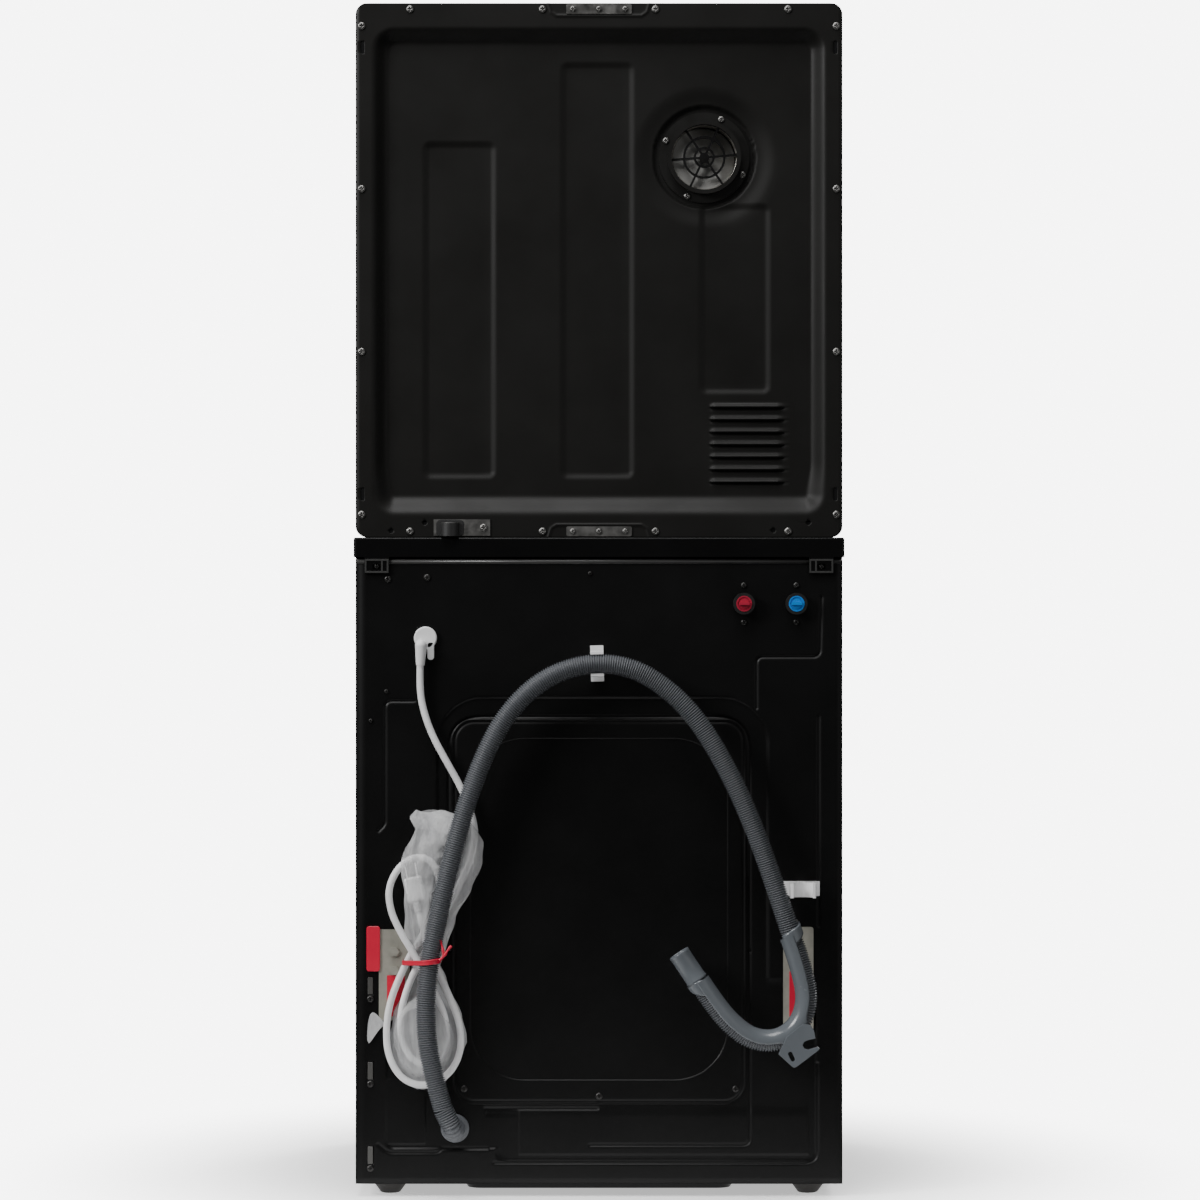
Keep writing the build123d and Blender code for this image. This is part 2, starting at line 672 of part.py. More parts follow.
def drawer_compartments():
    """The sides of the drawer's three compartments."""
    x0, x1, _, _ = drawer_span()
    wall = 2.5
    width = (x1 - x0 - 12 - 4 * wall) / 3
    first = x0 + 6 + wall
    return [(first + i * (width + wall), first + i * (width + wall) + width) for i in range(3)]


# Doors and hinges


def hinge_axis():
    """X and Y of a door hinge line."""
    return -(DOOR_RADIUS + 4), FRONT - DOOR_GAP - DOOR_THICKNESS / 2


def door_frame(z):
    """A round door frame with a finger recess on one side and a hinge barrel on the other."""
    back = FRONT - DOOR_GAP
    front = back - DOOR_THICKNESS
    outer = DOOR_RADIUS
    glass = GLASS_RADIUS
    frame = turned(
        (
            (glass, front + 9), (glass + 14, front), (outer - 18, front), (outer - 3, front + 9),
            (outer, back - 5),
            (outer - 2, back), (glass + GLASS_SEAT, back), (glass + GLASS_SEAT, back - 10),
            (glass, back - 10),
        ),
        0, z, 2.0, back - 12,
    )
    frame -= box(outer - 20, outer + 5, back - 15, back + 1, z - 45, z + 45)
    x, y = hinge_axis()
    clear = HINGE_BARREL_RADIUS + 2.5
    frame -= rod_z(clear, z - HINGE_HALF_HEIGHT - 3, z + HINGE_HALF_HEIGHT + 3, x, y)
    half = HINGE_SPLIT - 1
    frame += rod_z(HINGE_BARREL_RADIUS, z - half, z + half, x, y)
    frame += box(x, x + clear + 6, y - 5, y + 5, z - half, z + half)
    return frame - rod_z(HINGE_PIN_RADIUS + RUNNING_FIT, z - half - 1, z + half + 1, x, y)


def door_glass(z, depth):
    """A door glass bowl seated in the frame, and the flat lens in front of it."""
    back = FRONT - DOOR_GAP
    seat = back - 10
    edge = GLASS_RADIUS + GLASS_SEAT - SEAT_GAP
    wall = GLASS_THICKNESS
    bowl = turned(
        (
            (0, FRONT + depth), (GLASS_RADIUS - 48, FRONT + depth - 4),
            (GLASS_RADIUS - 24, FRONT + depth - 16),
            (GLASS_RADIUS - 5, seat + wall), (edge, seat + wall), (edge, seat), (GLASS_RADIUS - 9, seat),
            (GLASS_RADIUS - 28, FRONT + depth - 16 - wall), (GLASS_RADIUS - 50, FRONT + depth - 4 - wall),
            (0, FRONT + depth - wall),
        ),
        0, z,
    )
    lens = rod_y(GLASS_RADIUS - SEAT_GAP, back - DOOR_THICKNESS + 10, back - DOOR_THICKNESS + 13, 0, z)
    return Compound(children=[bowl, lens])


def door_hinges():
    """For each door, a plate with two ears on the front panel, and the pin through them."""
    pieces = []
    x, y = hinge_axis()
    for z in (WASHER_AXIS, DRYER_AXIS):
        bracket = box(x - 14, x + 6, FRONT - 1.6, FRONT, z - HINGE_HALF_HEIGHT - 6, z + HINGE_HALF_HEIGHT + 6)
        for side in (-1, 1):
            low = z + side * HINGE_SPLIT
            high = z + side * HINGE_HALF_HEIGHT
            bracket += box(x - 4, x + 4, y, FRONT - 0.5, low, high)
            bracket += rod_z(HINGE_BARREL_RADIUS, low, high, x, y)
        pin = rod_z(HINGE_PIN_RADIUS, z - HINGE_HALF_HEIGHT - 2, z + HINGE_HALF_HEIGHT + 2, x, y)
        pieces.append(bracket - pin)
        pieces.append(pin)
    return Compound(children=pieces)


def door_gasket():
    """The rubber bellows between the washer front panel and the tub."""
    front = FRONT + SHEET
    back = FRONT + TUB_FRONT_SETBACK
    line = Polyline(
        (PANEL_OPENING + 8, front + 1.5), (PANEL_OPENING - 7, front + 1.5), (PANEL_OPENING - 7, front + 14),
        (PANEL_OPENING + 6, front + 22), (PANEL_OPENING - 3, front + 32), (TUB_OPENING - 8, back - 1.5),
        (TUB_OPENING + 10, back - 1.5),
    )
    return Pos(0, 0, WASHER_AXIS) * revolve(trace(line, 3.0), Axis.Y)


# Washer inside

TUB_FRONT = FRONT + TUB_FRONT_SETBACK
TUB_BACK = TUB_FRONT + TUB_LENGTH
HUB_END = TUB_BACK + 45
SPRING_X = TUB_RADIUS * 74 / 85
SPRING_Y = TUB_BACK - 116
SPRING_TOP = WASHER_TOP - 50
SPRING_BOTTOM = WASHER_AXIS + TUB_RADIUS * 10 / 17
WASHER_DRUM_FRONT = TUB_FRONT + 9
WASHER_DRUM_BACK = TUB_BACK - 32
PULLEY_Y = HUB_END + 8
WASHER_MOTOR_Z = WASHER_AXIS - WASHER_MOTOR_DROP


def washer_tub():
    """The tub, with its bearing hub and two spring lugs."""
    inner = TUB_RADIUS - TUB_WALL
    bore = BEARING_RADIUS + RUNNING_FIT
    tub = turned(
        (
            (TUB_OPENING, TUB_FRONT), (TUB_RADIUS, TUB_FRONT), (TUB_RADIUS, TUB_BACK), (HUB_RADIUS, TUB_BACK),
            (HUB_RADIUS, HUB_END), (bore, HUB_END), (bore, TUB_BACK - TUB_WALL), (inner, TUB_BACK - TUB_WALL),
            (inner, TUB_FRONT + TUB_WALL), (TUB_OPENING, TUB_FRONT + TUB_WALL),
        ),
        0, WASHER_AXIS,
    )
    space = rod_y(TUB_RADIUS - TUB_WALL / 2, TUB_FRONT, TUB_BACK, 0, WASHER_AXIS)
    for side in (-1, 1):
        lug = box(
            side * (SPRING_X - 16), side * (SPRING_X + 16), SPRING_Y - 14, SPRING_Y + 14, SPRING_BOTTOM - 40,
            SPRING_BOTTOM
        )
        tub += lug - space
    return tub


def washer_drum():
    """The perforated drum shell and its three lifters."""
    shell = turned(
        (
            (WASHER_DRUM_OPENING, WASHER_DRUM_FRONT), (WASHER_DRUM_RADIUS, WASHER_DRUM_FRONT),
            (WASHER_DRUM_RADIUS, WASHER_DRUM_BACK), (0, WASHER_DRUM_BACK), (0, WASHER_DRUM_BACK - SHEET),
            (WASHER_DRUM_RADIUS - SHEET, WASHER_DRUM_BACK - SHEET),
            (WASHER_DRUM_RADIUS - SHEET, WASHER_DRUM_FRONT + SHEET),
            (WASHER_DRUM_OPENING, WASHER_DRUM_FRONT + SHEET),
        ),
        0, WASHER_AXIS,
    )
    return Compound(
        children=[shell] + lifters(
            WASHER_DRUM_RADIUS - SHEET, WASHER_DRUM_FRONT, WASHER_DRUM_BACK, WASHER_AXIS
        )
    )


def lifters(radius, front, back, z):
    """Three tapered lifters inside a drum shell."""
    profile = Polygon(
        (-34, -radius - 6), (34, -radius - 6), (13, -radius + 46), (-13, -radius + 46), align=None
    )
    profile = fillet(profile.vertices().sort_by(Axis.Y)[-2:], 8)
    bar = extrude(facing_rear(back - 14) * profile, amount=back - front - 28)
    bar &= rod_y(radius, front, back)
    return [Pos(0, 0, z) * Rot(0, 120 * i + 60, 0) * bar for i in range(3)]


def drum_shaft():
    """The three-armed spider with its shaft, and the two bearings on it."""
    spider = rod_y(46, WASHER_DRUM_BACK, WASHER_DRUM_BACK + 18)
    arm = Polygon(
        (0, -24), (WASHER_DRUM_RADIUS - 10, -13), (WASHER_DRUM_RADIUS - 10, 13), (0, 24), align=None
    )
    bar = extrude(facing_rear(WASHER_DRUM_BACK + 14) * arm, amount=14)
    for i in range(3):
        spider += Rot(0, 120 * i + 30, 0) * bar
    spider += rod_y(SHAFT_RADIUS, WASHER_DRUM_BACK, PULLEY_Y)
    spider += rod_y(SHAFT_RADIUS - 4, PULLEY_Y, PULLEY_Y + PULLEY_WIDTH + 6)
    pieces = [Pos(0, 0, WASHER_AXIS) * spider]
    for start in (TUB_BACK - TUB_WALL, HUB_END - BEARING_WIDTH):
        ring = rod_y(BEARING_RADIUS, start, start + BEARING_WIDTH, 0, WASHER_AXIS)
        pieces.append(ring - rod_y(SHAFT_RADIUS, start - 1, start + BEARING_WIDTH + 1, 0, WASHER_AXIS))
    return Compound(children=pieces)


def drum_pulley():
    """The large belt pulley, with five spokes."""
    rim = rod_y(DRUM_PULLEY_RADIUS, PULLEY_Y, PULLEY_Y + PULLEY_WIDTH)
    rim -= rod_y(DRUM_PULLEY_RADIUS - 9, PULLEY_Y - 1, PULLEY_Y + PULLEY_WIDTH + 1)
    hub = rod_y(30, PULLEY_Y, PULLEY_Y + PULLEY_WIDTH)
    for i in range(5):
        spoke = box(10, DRUM_PULLEY_RADIUS - 5, PULLEY_Y + 4, PULLEY_Y + 11, -11, 11)
        hub += Rot(0, 72 * i, 0) * spoke
    wheel = rim + hub - rod_y(SHAFT_RADIUS - 4, PULLEY_Y - 1, PULLEY_Y + PULLEY_WIDTH + 1)
    return Pos(0, 0, WASHER_AXIS) * wheel


def belt(first, second, y):
    """A flat belt loop round two pulleys given as (x, z, radius)."""
    inside = []
    outside = []
    for x, z, radius in (first, second):
        inside.append((Pos(x, z) * Circle(radius + SEAT_GAP)).edge())
        outside.append((Pos(x, z) * Circle(radius + SEAT_GAP + BELT_THICKNESS)).edge())
    loop = make_hull(outside) - make_hull(inside)
    return extrude(facing_rear(y + BELT_WIDTH / 2) * loop, amount=BELT_WIDTH)


def drive_belts():
    """The washer belt and the dryer drum belt."""
    washer = belt(
        (0, WASHER_AXIS, DRUM_PULLEY_RADIUS),
        (WASHER_MOTOR_X, WASHER_MOTOR_Z, WASHER_MOTOR_PULLEY_RADIUS),
        PULLEY_Y + PULLEY_WIDTH / 2,
    )
    dryer = belt(
        (0, DRYER_AXIS, DRYER_DRUM_RADIUS), (DRYER_MOTOR_X, DRYER_MOTOR_Z, DRYER_MOTOR_PULLEY_RADIUS),
        DRYER_BELT_Y
    )
    return Compound(children=[washer, dryer])


def drive_motors():
    """The washer motor on its bracket under the tub, and the dryer motor on its cradle."""
    washer_end = PULLEY_Y - 8
    washer = rod_y(
        WASHER_MOTOR_RADIUS, washer_end - WASHER_MOTOR_LENGTH, washer_end, WASHER_MOTOR_X, WASHER_MOTOR_Z
    )
    top = WASHER_AXIS - sqrt(TUB_RADIUS ** 2 - (WASHER_MOTOR_X - 20) ** 2) + 30
    bracket = box(
        WASHER_MOTOR_X - 20, WASHER_MOTOR_X + 20, washer_end - 110, washer_end - 50, WASHER_MOTOR_Z, top + 20
    )
    bracket -= rod_y(TUB_RADIUS + SEAT_GAP, TUB_FRONT, TUB_BACK, 0, WASHER_AXIS)
    washer += bracket & box(-HALF_WIDTH, HALF_WIDTH, FRONT, REAR, 0, top - 10)
    bore = MOTOR_SHAFT_RADIUS + RUNNING_FIT
    washer -= rod_y(bore, washer_end - 40, washer_end + 1, WASHER_MOTOR_X, WASHER_MOTOR_Z)
    dryer_end = DRYER_MOTOR_Y + DRYER_MOTOR_LENGTH
    dryer = rod_y(DRYER_MOTOR_RADIUS, DRYER_MOTOR_Y, dryer_end, DRYER_MOTOR_X, DRYER_MOTOR_Z)
    cradle = box(
        DRYER_MOTOR_X - 30, DRYER_MOTOR_X + 30, DRYER_MOTOR_Y + 20, dryer_end - 20, DRYER_FLOOR,
        DRYER_MOTOR_Z - 20
    )
    dryer += cradle
    dryer -= rod_y(bore, DRYER_MOTOR_Y - 1, dryer_end + 1, DRYER_MOTOR_X, DRYER_MOTOR_Z)
    return Compound(children=[washer, dryer])


def washer_motor_pulley():
    """The washer motor's shaft end with its small pulley."""
    end = PULLEY_Y - 8
    shaft = rod_y(MOTOR_SHAFT_RADIUS, end - 38, PULLEY_Y + PULLEY_WIDTH, WASHER_MOTOR_X, WASHER_MOTOR_Z)
    return shaft + rod_y(
        WASHER_MOTOR_PULLEY_RADIUS, PULLEY_Y, PULLEY_Y + PULLEY_WIDTH, WASHER_MOTOR_X, WASHER_MOTOR_Z
    )


def counterweights():
    """The upper block and the half ring in front of the tub."""
    tub = rod_y(TUB_RADIUS, TUB_FRONT, TUB_BACK, 0, WASHER_AXIS)
    high = WASHER_AXIS + TUB_RADIUS + 70
    half = TUB_RADIUS / 2
    top = box(-half, half, TUB_BACK - 78, TUB_BACK - 20, WASHER_AXIS + half, high) - tub
    ring = rod_y(TUB_RADIUS - 4, TUB_FRONT - 28, TUB_FRONT, 0, WASHER_AXIS)
    ring -= rod_y(TUB_OPENING + 16, TUB_FRONT - 29, TUB_FRONT + 1, 0, WASHER_AXIS)
    ring -= box(-HALF_WIDTH, HALF_WIDTH, TUB_FRONT - 30, TUB_FRONT + 1, WASHER_AXIS - 40, WASHER_TOP)
    return Compound(children=[top, ring])


def tub_suspension():
    """Two hanging springs above the tub and two friction dampers below it."""
    pieces = []
    tub = rod_y(TUB_RADIUS, TUB_FRONT, TUB_BACK, 0, WASHER_AXIS)
    turns = 9
    pitch = (SPRING_TOP - SPRING_BOTTOM) / turns
    damper_x = TUB_RADIUS * 10 / 17
    damper_foot = FOOT_HEIGHT + SHEET
    for side in (-1, 1):
        points = [(0, SPRING_BOTTOM)]
        for i in range(turns):
            points += [(8, SPRING_BOTTOM + i * pitch), (12, SPRING_BOTTOM + (i + 0.5) * pitch)]
        points += [(8, SPRING_TOP), (0, SPRING_TOP)]
        coil = revolve(Plane.XZ * make_face(Polyline(*points, close=True)), Axis.Z)
        pieces.append(Pos(side * SPRING_X, SPRING_Y, 0) * coil)
        damper = rod_z(
            13, damper_foot, damper_foot + 90, side * damper_x
        ) + rod_z(7, damper_foot + 90, WASHER_AXIS, side * damper_x)
        pieces.append((damper - tub).solids().sort_by(Axis.Z)[0])
    return Compound(children=pieces)


def drain_pump():
    """The pump body, with a front bore for the filter and a foot on the floor pan."""
    tube_front = FRONT + 12
    body = rod_y(PUMP_TUBE_RADIUS, tube_front, FRONT + 58, FLAP_X, FLAP_Z)
    body += rod_y(PUMP_BODY_RADIUS, FRONT + 52, FRONT + 105, FLAP_X, FLAP_Z)
    body += rod_y(PUMP_MOTOR_RADIUS, FRONT + 105, FRONT + 165, FLAP_X, FLAP_Z)
    body += box(FLAP_X - 20, FLAP_X + 20, FRONT + 55, FRONT + 100, FOOT_HEIGHT + SHEET, FLAP_Z - 20)
    return body - rod_y(FILTER_RADIUS + SEAT_GAP, tube_front - 1, FRONT + 56, FLAP_X, FLAP_Z)


def pump_filter():
    """The pump filter: a plug with a grip bar and a strainer."""
    front = FRONT + 13
    plug = rod_y(FILTER_RADIUS, front, front + 10, FLAP_X, FLAP_Z)
    plug += rod_y(FILTER_RADIUS * 2 / 3, front + 10, FRONT + 54, FLAP_X, FLAP_Z)
    plug += box(FLAP_X - 20, FLAP_X + 20, front - 6, front, FLAP_Z - 3, FLAP_Z + 3)
    for side in (-1, 1):
        plug -= box(FLAP_X + side * 6, FLAP_X + side * 20, front + 16, FRONT + 50, FLAP_Z - 6, FLAP_Z + 6)
    return plug


def inlet_valves():
    """The two water valves, with threaded spouts through the rear panel."""
    valves = []
    z = WASHER_TOP - INLET_DROP
    for x in INLET_X:
        valve = rod_y(
            INLET_RADIUS, REAR - 20, REAR + INLET_LENGTH, x, z
        ) - rod_y(INLET_BORE, REAR - 12, REAR + 20, x, z)
        valve += box(
            x - 17, x + 17, REAR - SHEET - 4, REAR - SHEET, z - 30, z + 30
        ) - rod_y(INLET_BORE, REAR - 12, REAR, x, z)
        valve += box(
            x - 14, x + 14, REAR - 62, REAR - 18, z - 16, z + 16
        ) + rod_z(11, z + 10, z + 40, x, REAR - 42)
        valves.append(valve)
    return Compound(children=valves)


def inlet_cap(x):
    """A transit plug in a water inlet, with a moulded finger bar."""
    z = WASHER_TOP - INLET_DROP
    front = REAR + INLET_LENGTH + 0.6
    plug = rod_y(INLET_BORE - RUNNING_FIT, REAR - 4, front, x, z)
    ring = rod_y(
        INLET_BORE - 1.6, front - 1, front + 1, x, z
    ) - rod_y(INLET_BORE - 3.4, front - 2, front, x, z)
    return plug - ring + box(x - 6.5, x + 6.5, front, front + 3, z - 1.6, z + 1.6)


# Dryer

DRYER_FLOOR = DRYER_BOTTOM + 2 * SHEET
DRYER_DRUM_FRONT = FRONT + 45
DRYER_DRUM_BACK = REAR - 120
BULKHEAD_Y = DRYER_DRUM_BACK + 8
DRYER_BELT_Y = REAR - 280
DRYER_MOTOR_Y = REAR - 240
DRYER_MOTOR_Z = DRYER_BOTTOM + DRYER_MOTOR_RISE
DUCT_BACK = REAR - DISH_DEPTH - EXHAUST_RECESS_DEPTH - SHEET - 3
DRUM_STUB_RADIUS = 9.0


def dryer_outline(inset=0.0):
    """The rounded outline of the dryer cabinet, drawn in X and Z."""
    return rounded(
        -HALF_WIDTH + inset, HALF_WIDTH - inset, DRYER_BOTTOM + inset, DRYER_TOP - inset, DRYER_CORNER - inset
    )


def dryer_cabinet():
    """The sheet wrapped over the dryer's sides and top, turned under at the bottom and in at both ends."""
    front = FRONT + SHEET
    rear = REAR - SHEET
    wrap = extrude(facing_rear(rear) * (dryer_outline() - dryer_outline(SHEET)), amount=rear - front)
    rim = dryer_outline() - rounded(
        -HALF_WIDTH + DRYER_FLANGE, HALF_WIDTH - DRYER_FLANGE, DRYER_BOTTOM + DRYER_FLANGE,
        DRYER_TOP - DRYER_FLANGE, 4
    )
    for y in (front + SHEET, rear):
        wrap += extrude(facing_rear(y) * rim, amount=SHEET)
    open_half = HALF_WIDTH - FLANGE
    return wrap - box(-open_half, open_half, FRONT, REAR, DRYER_BOTTOM - 1, DRYER_BOTTOM + DRYER_FLANGE + 1)


def dryer_base():
    """The dryer floor pan, resting on the turned-in edges of the cabinet."""
    half = HALF_WIDTH - DRYER_CORNER - 1
    front = FRONT + 2 * SHEET
    rear = REAR - 2 * SHEET
    pan = box(-half, half, front, rear, DRYER_BOTTOM + SHEET, DRYER_BOTTOM + 19)
    return pan - box(-half + SHEET, half - SHEET, front + SHEET, rear - SHEET, DRYER_FLOOR, DRYER_BOTTOM + 20)


def louvre(z):
    """One louvre hood, highest along its open lower edge."""
    wedge = Wedge(
        LOUVRE_WIDTH, LOUVRE_RISE, LOUVRE_HEIGHT, 6, 0, LOUVRE_WIDTH - 6, 0.8,
        align=(Align.CENTER, Align.MIN, Align.MIN)
    )
    return Pos(LOUVRE_X, REAR - DISH_DEPTH, z) * wedge


def dryer_rear_panel():
    """The dryer rear sheet: a deep dish with three ribs, seven louvres and a round recess for the exhaust."""
    block = extrude(facing_rear(REAR) * dryer_outline(), amount=60)
    dish = rounded(
        -HALF_WIDTH + DISH_RIM, HALF_WIDTH - DISH_RIM, DRYER_BOTTOM + DISH_BOTTOM_RIM,
        DRYER_TOP - DISH_TOP_RIM, DISH_CORNER
    )
    block -= pocket(dish, REAR, DISH_DEPTH, 50)
    floor = REAR - DISH_DEPTH
    for x, width, low, high in RIBS:
        rib = rounded(x - width / 2, x + width / 2, DRYER_BOTTOM + low, DRYER_BOTTOM + high, RIB_CORNER)
        block -= pocket(rib, floor, RIB_DEPTH)
    block -= pocket(
        Pos(EXHAUST_X, EXHAUST_Z) * Circle(EXHAUST_RECESS_RADIUS + EXHAUST_RECESS_DEPTH / 2), floor,
        EXHAUST_RECESS_DEPTH, 27
    )
    for i in range(LOUVRE_COUNT):
        block += louvre(DRYER_BOTTOM + LOUVRE_LOW + i * LOUVRE_PITCH)
    sheet = pressed(block)
    return sheet - rod_y(EXHAUST_BORE_RADIUS + 3, REAR - 60, REAR, EXHAUST_X, EXHAUST_Z)


def exhaust_outlet():
    """The exhaust collar with its flange, and a round guard of spokes and rings."""
    seat = REAR - DISH_DEPTH - EXHAUST_RECESS_DEPTH
    end = seat + EXHAUST_COLLAR_LENGTH
    collar = rod_y(EXHAUST_COLLAR_RADIUS, seat, end) + rod_y(
        EXHAUST_RECESS_RADIUS - 2, seat, seat + EXHAUST_FLANGE
    )
    collar += rod_y(EXHAUST_BORE_RADIUS + 2, DUCT_BACK - 1, seat)
    collar -= rod_y(EXHAUST_BORE_RADIUS, DUCT_BACK - 2, end + 1)
    guard_y = seat + 3
    guard = rod_y(6, guard_y, guard_y + 4)
    for radius in GUARD_RINGS:
        ring = rod_y(radius + GUARD_BAR / 2, guard_y, guard_y + 4) - rod_y(
            radius - GUARD_BAR / 2, guard_y - 1, guard_y + 5
        )
        guard += ring
    for i in range(GUARD_SPOKES):
        bar = box(4, EXHAUST_BORE_RADIUS + 1, guard_y, guard_y + 4, -GUARD_BAR / 2, GUARD_BAR / 2)
        guard += Rot(0, 360 / GUARD_SPOKES * i + GUARD_TURN, 0) * bar
    return Pos(EXHAUST_X, 0, EXHAUST_Z) * (collar + guard)


def rear_brackets():
    """The two strap brackets on the dryer's rim, and the cord clamp plate beside the lower one."""
    face = REAR + STRAP_THICKNESS
    straps = []
    for z in (DRYER_TOP - RIM_SCREW_INSET, DRYER_BOTTOM + RIM_SCREW_INSET):
        strap = box(-STRAP_HALF, STRAP_HALF, REAR, face, z - STRAP_HEIGHT / 2, z + STRAP_HEIGHT / 2)
        straps.append(fillet(strap.edges().filter_by(Axis.Y), STRAP_HEIGHT / 6))
    low = DRYER_BOTTOM + CLAMP_RISE - CLAMP_HEIGHT / 2
    high = low + CLAMP_HEIGHT
    start, end = CLAMP_X
    middle = end - CLAMP_HEIGHT
    clamp = box(start, end, REAR, face, low, high)
    hump = rod_z(CLAMP_HUMP_RADIUS, low, high - 4, middle, REAR + 1)
    hump &= box(start, end, REAR, REAR + 2 * CLAMP_HUMP_RADIUS, low, high)
    hollow = rod_z(CLAMP_HUMP_RADIUS - 1.6, low - 1, high - 5.5, middle, REAR + 1)
    straps.append(clamp + hump - hollow)
    return Compound(children=straps)


def dryer_front_panel():
    """The dryer front sheet, with the collar that the drum's front edge runs on."""
    plate = extrude(facing_rear(FRONT + SHEET) * dryer_outline(), amount=SHEET)
    plate &= box(
        -HALF_WIDTH, HALF_WIDTH, FRONT - 1, FRONT + 3, DRYER_BOTTOM, DRYER_CONTROL_BOTTOM - MOVING_GAP
    )
    collar = rod_y(DRYER_DRUM_OPENING - MOVING_GAP, FRONT + SHEET, DRYER_DRUM_FRONT + 12)
    collar -= rod_y(DRYER_DRUM_OPENING - MOVING_GAP - 2, FRONT + SHEET, DRYER_DRUM_FRONT + 13)
    plate += Pos(0, 0, DRYER_AXIS) * collar
    return plate - rod_y(PANEL_OPENING, FRONT - 1, FRONT + 2, 0, DRYER_AXIS)


def dryer_control_panel():
    """The dryer control panel."""
    holes = control_holes(DRYER_CONTROL_BOTTOM, DRYER_TOP, DRYER_BUTTON_X)
    return control_panel(
        DRYER_CONTROL_BOTTOM, DRYER_TOP, DRYER_TOP - DRYER_FLANGE - 2, dryer_outline(), holes
    )


def dryer_drum():
    """The dryer drum with its lifters, the rear stub shaft and the ring that holds the lint filter."""
    shell = turned(
        (
            (DRYER_DRUM_OPENING, DRYER_DRUM_FRONT), (DRYER_DRUM_RADIUS, DRYER_DRUM_FRONT),
            (DRYER_DRUM_RADIUS, DRYER_DRUM_BACK), (0, DRYER_DRUM_BACK), (0, DRYER_DRUM_BACK - SHEET),
            (DRYER_DRUM_RADIUS - SHEET, DRYER_DRUM_BACK - SHEET),
            (DRYER_DRUM_RADIUS - SHEET, DRYER_DRUM_FRONT + SHEET),
            (DRYER_DRUM_OPENING, DRYER_DRUM_FRONT + SHEET),
        ),
    )
    back = DRYER_DRUM_BACK
    shell += rod_y(DRUM_STUB_RADIUS, back - SHEET, BULKHEAD_Y + 26) + rod_y(40, back, back + 4)
    holder = LINT_RADIUS + MOVING_GAP
    shell += rod_y(holder + 2.5, back - 12, back - SHEET) - rod_y(holder, back - 13, back - SHEET)
    for i in range(12):
        vent = rod_y(7, back - 3, back + 1, LINT_RADIUS - 20)
        shell -= Rot(0, 30 * i, 0) * vent
    pieces = [Pos(0, 0, DRYER_AXIS) * shell]
    return Compound(
        children=pieces + lifters(DRYER_DRUM_RADIUS - SHEET, DRYER_DRUM_FRONT, back - 10, DRYER_AXIS)
    )


def lint_filter():
    """The round lint filter: a ring, a cross and a finger bar."""
    back = DRYER_DRUM_BACK - SHEET - SEAT_GAP
    disc = rod_y(LINT_RADIUS, back - 9, back) - rod_y(LINT_RADIUS - 7, back - 10, back - 2)
    for i in range(3):
        disc += Rot(0, 60 * i, 0) * box(-LINT_RADIUS + 4, LINT_RADIUS - 4, back - 6, back - 1, -2, 2)
    disc += box(-5, 5, back - 22, back - 4, -30, 30)
    return Pos(0, 0, DRYER_AXIS) * disc


def rear_bulkhead():
    """The wall behind the drum, with the bearing boss, the blower scroll and the duct to the exhaust."""
    half = HALF_WIDTH - SHEET
    low = DRYER_BOTTOM + 19
    high = DRYER_TOP - DRYER_CORNER
    back = BULKHEAD_Y + SHEET
    plate = box(-half, half, BULKHEAD_Y, back, low, high)
    duct_x = (EXHAUST_X - 52, EXHAUST_X + 52)
    outer = rod_y(SCROLL_RADIUS, back, DUCT_BACK, DRYER_MOTOR_X, DRYER_MOTOR_Z)
    outer += box(*duct_x, back, DUCT_BACK, DRYER_MOTOR_Z, EXHAUST_Z + 56)
    inner = rod_y(SCROLL_RADIUS - 2, back, DUCT_BACK - 2, DRYER_MOTOR_X, DRYER_MOTOR_Z)
    inner += box(duct_x[0] + 2, duct_x[1] - 2, back, DUCT_BACK - 2, DRYER_MOTOR_Z, EXHAUST_Z + 54)
    wall = plate + (outer - inner)
    wall += rod_y(24, back, BULKHEAD_Y + 28, 0, DRYER_AXIS)
    wall -= rod_y(DRUM_STUB_RADIUS + RUNNING_FIT, BULKHEAD_Y - 1, BULKHEAD_Y + 29, 0, DRYER_AXIS)
    wall -= rod_y(EXHAUST_BORE_RADIUS + 2 + SEAT_GAP, DUCT_BACK - 3, DUCT_BACK + 1, EXHAUST_X, EXHAUST_Z)
    wall -= rod_y(34, BULKHEAD_Y - 1, back + 1, DRYER_MOTOR_X, DRYER_MOTOR_Z)
    return wall


def blower_wheel():
    """The blower wheel: a hub, a back disc and straight blades."""
    front = BULKHEAD_Y + SHEET + 8
    back = DUCT_BACK - 14
    wheel = rod_y(15, front + 10, back) + rod_y(FAN_RADIUS, back - 3, back)
    blades = 18
    for i in range(blades):
        blade = box(40, FAN_RADIUS, front, back - 2, -1, 1)
        wheel += Rot(0, 360 / blades * i, 0) * blade
    wheel -= rod_y(MOTOR_SHAFT_RADIUS, front, back + 1)
    return Pos(DRYER_MOTOR_X, 0, DRYER_MOTOR_Z) * wheel


def dryer_motor_shaft():
    """The dryer motor's shaft, with the belt pulley at its front end."""
    shaft = rod_y(MOTOR_SHAFT_RADIUS, DRYER_BELT_Y - 12, DUCT_BACK - 12)
    pulley = rod_y(DRYER_MOTOR_PULLEY_RADIUS, DRYER_BELT_Y - 10, DRYER_BELT_Y + 10)
    return Pos(DRYER_MOTOR_X, 0, DRYER_MOTOR_Z) * (shaft + pulley)


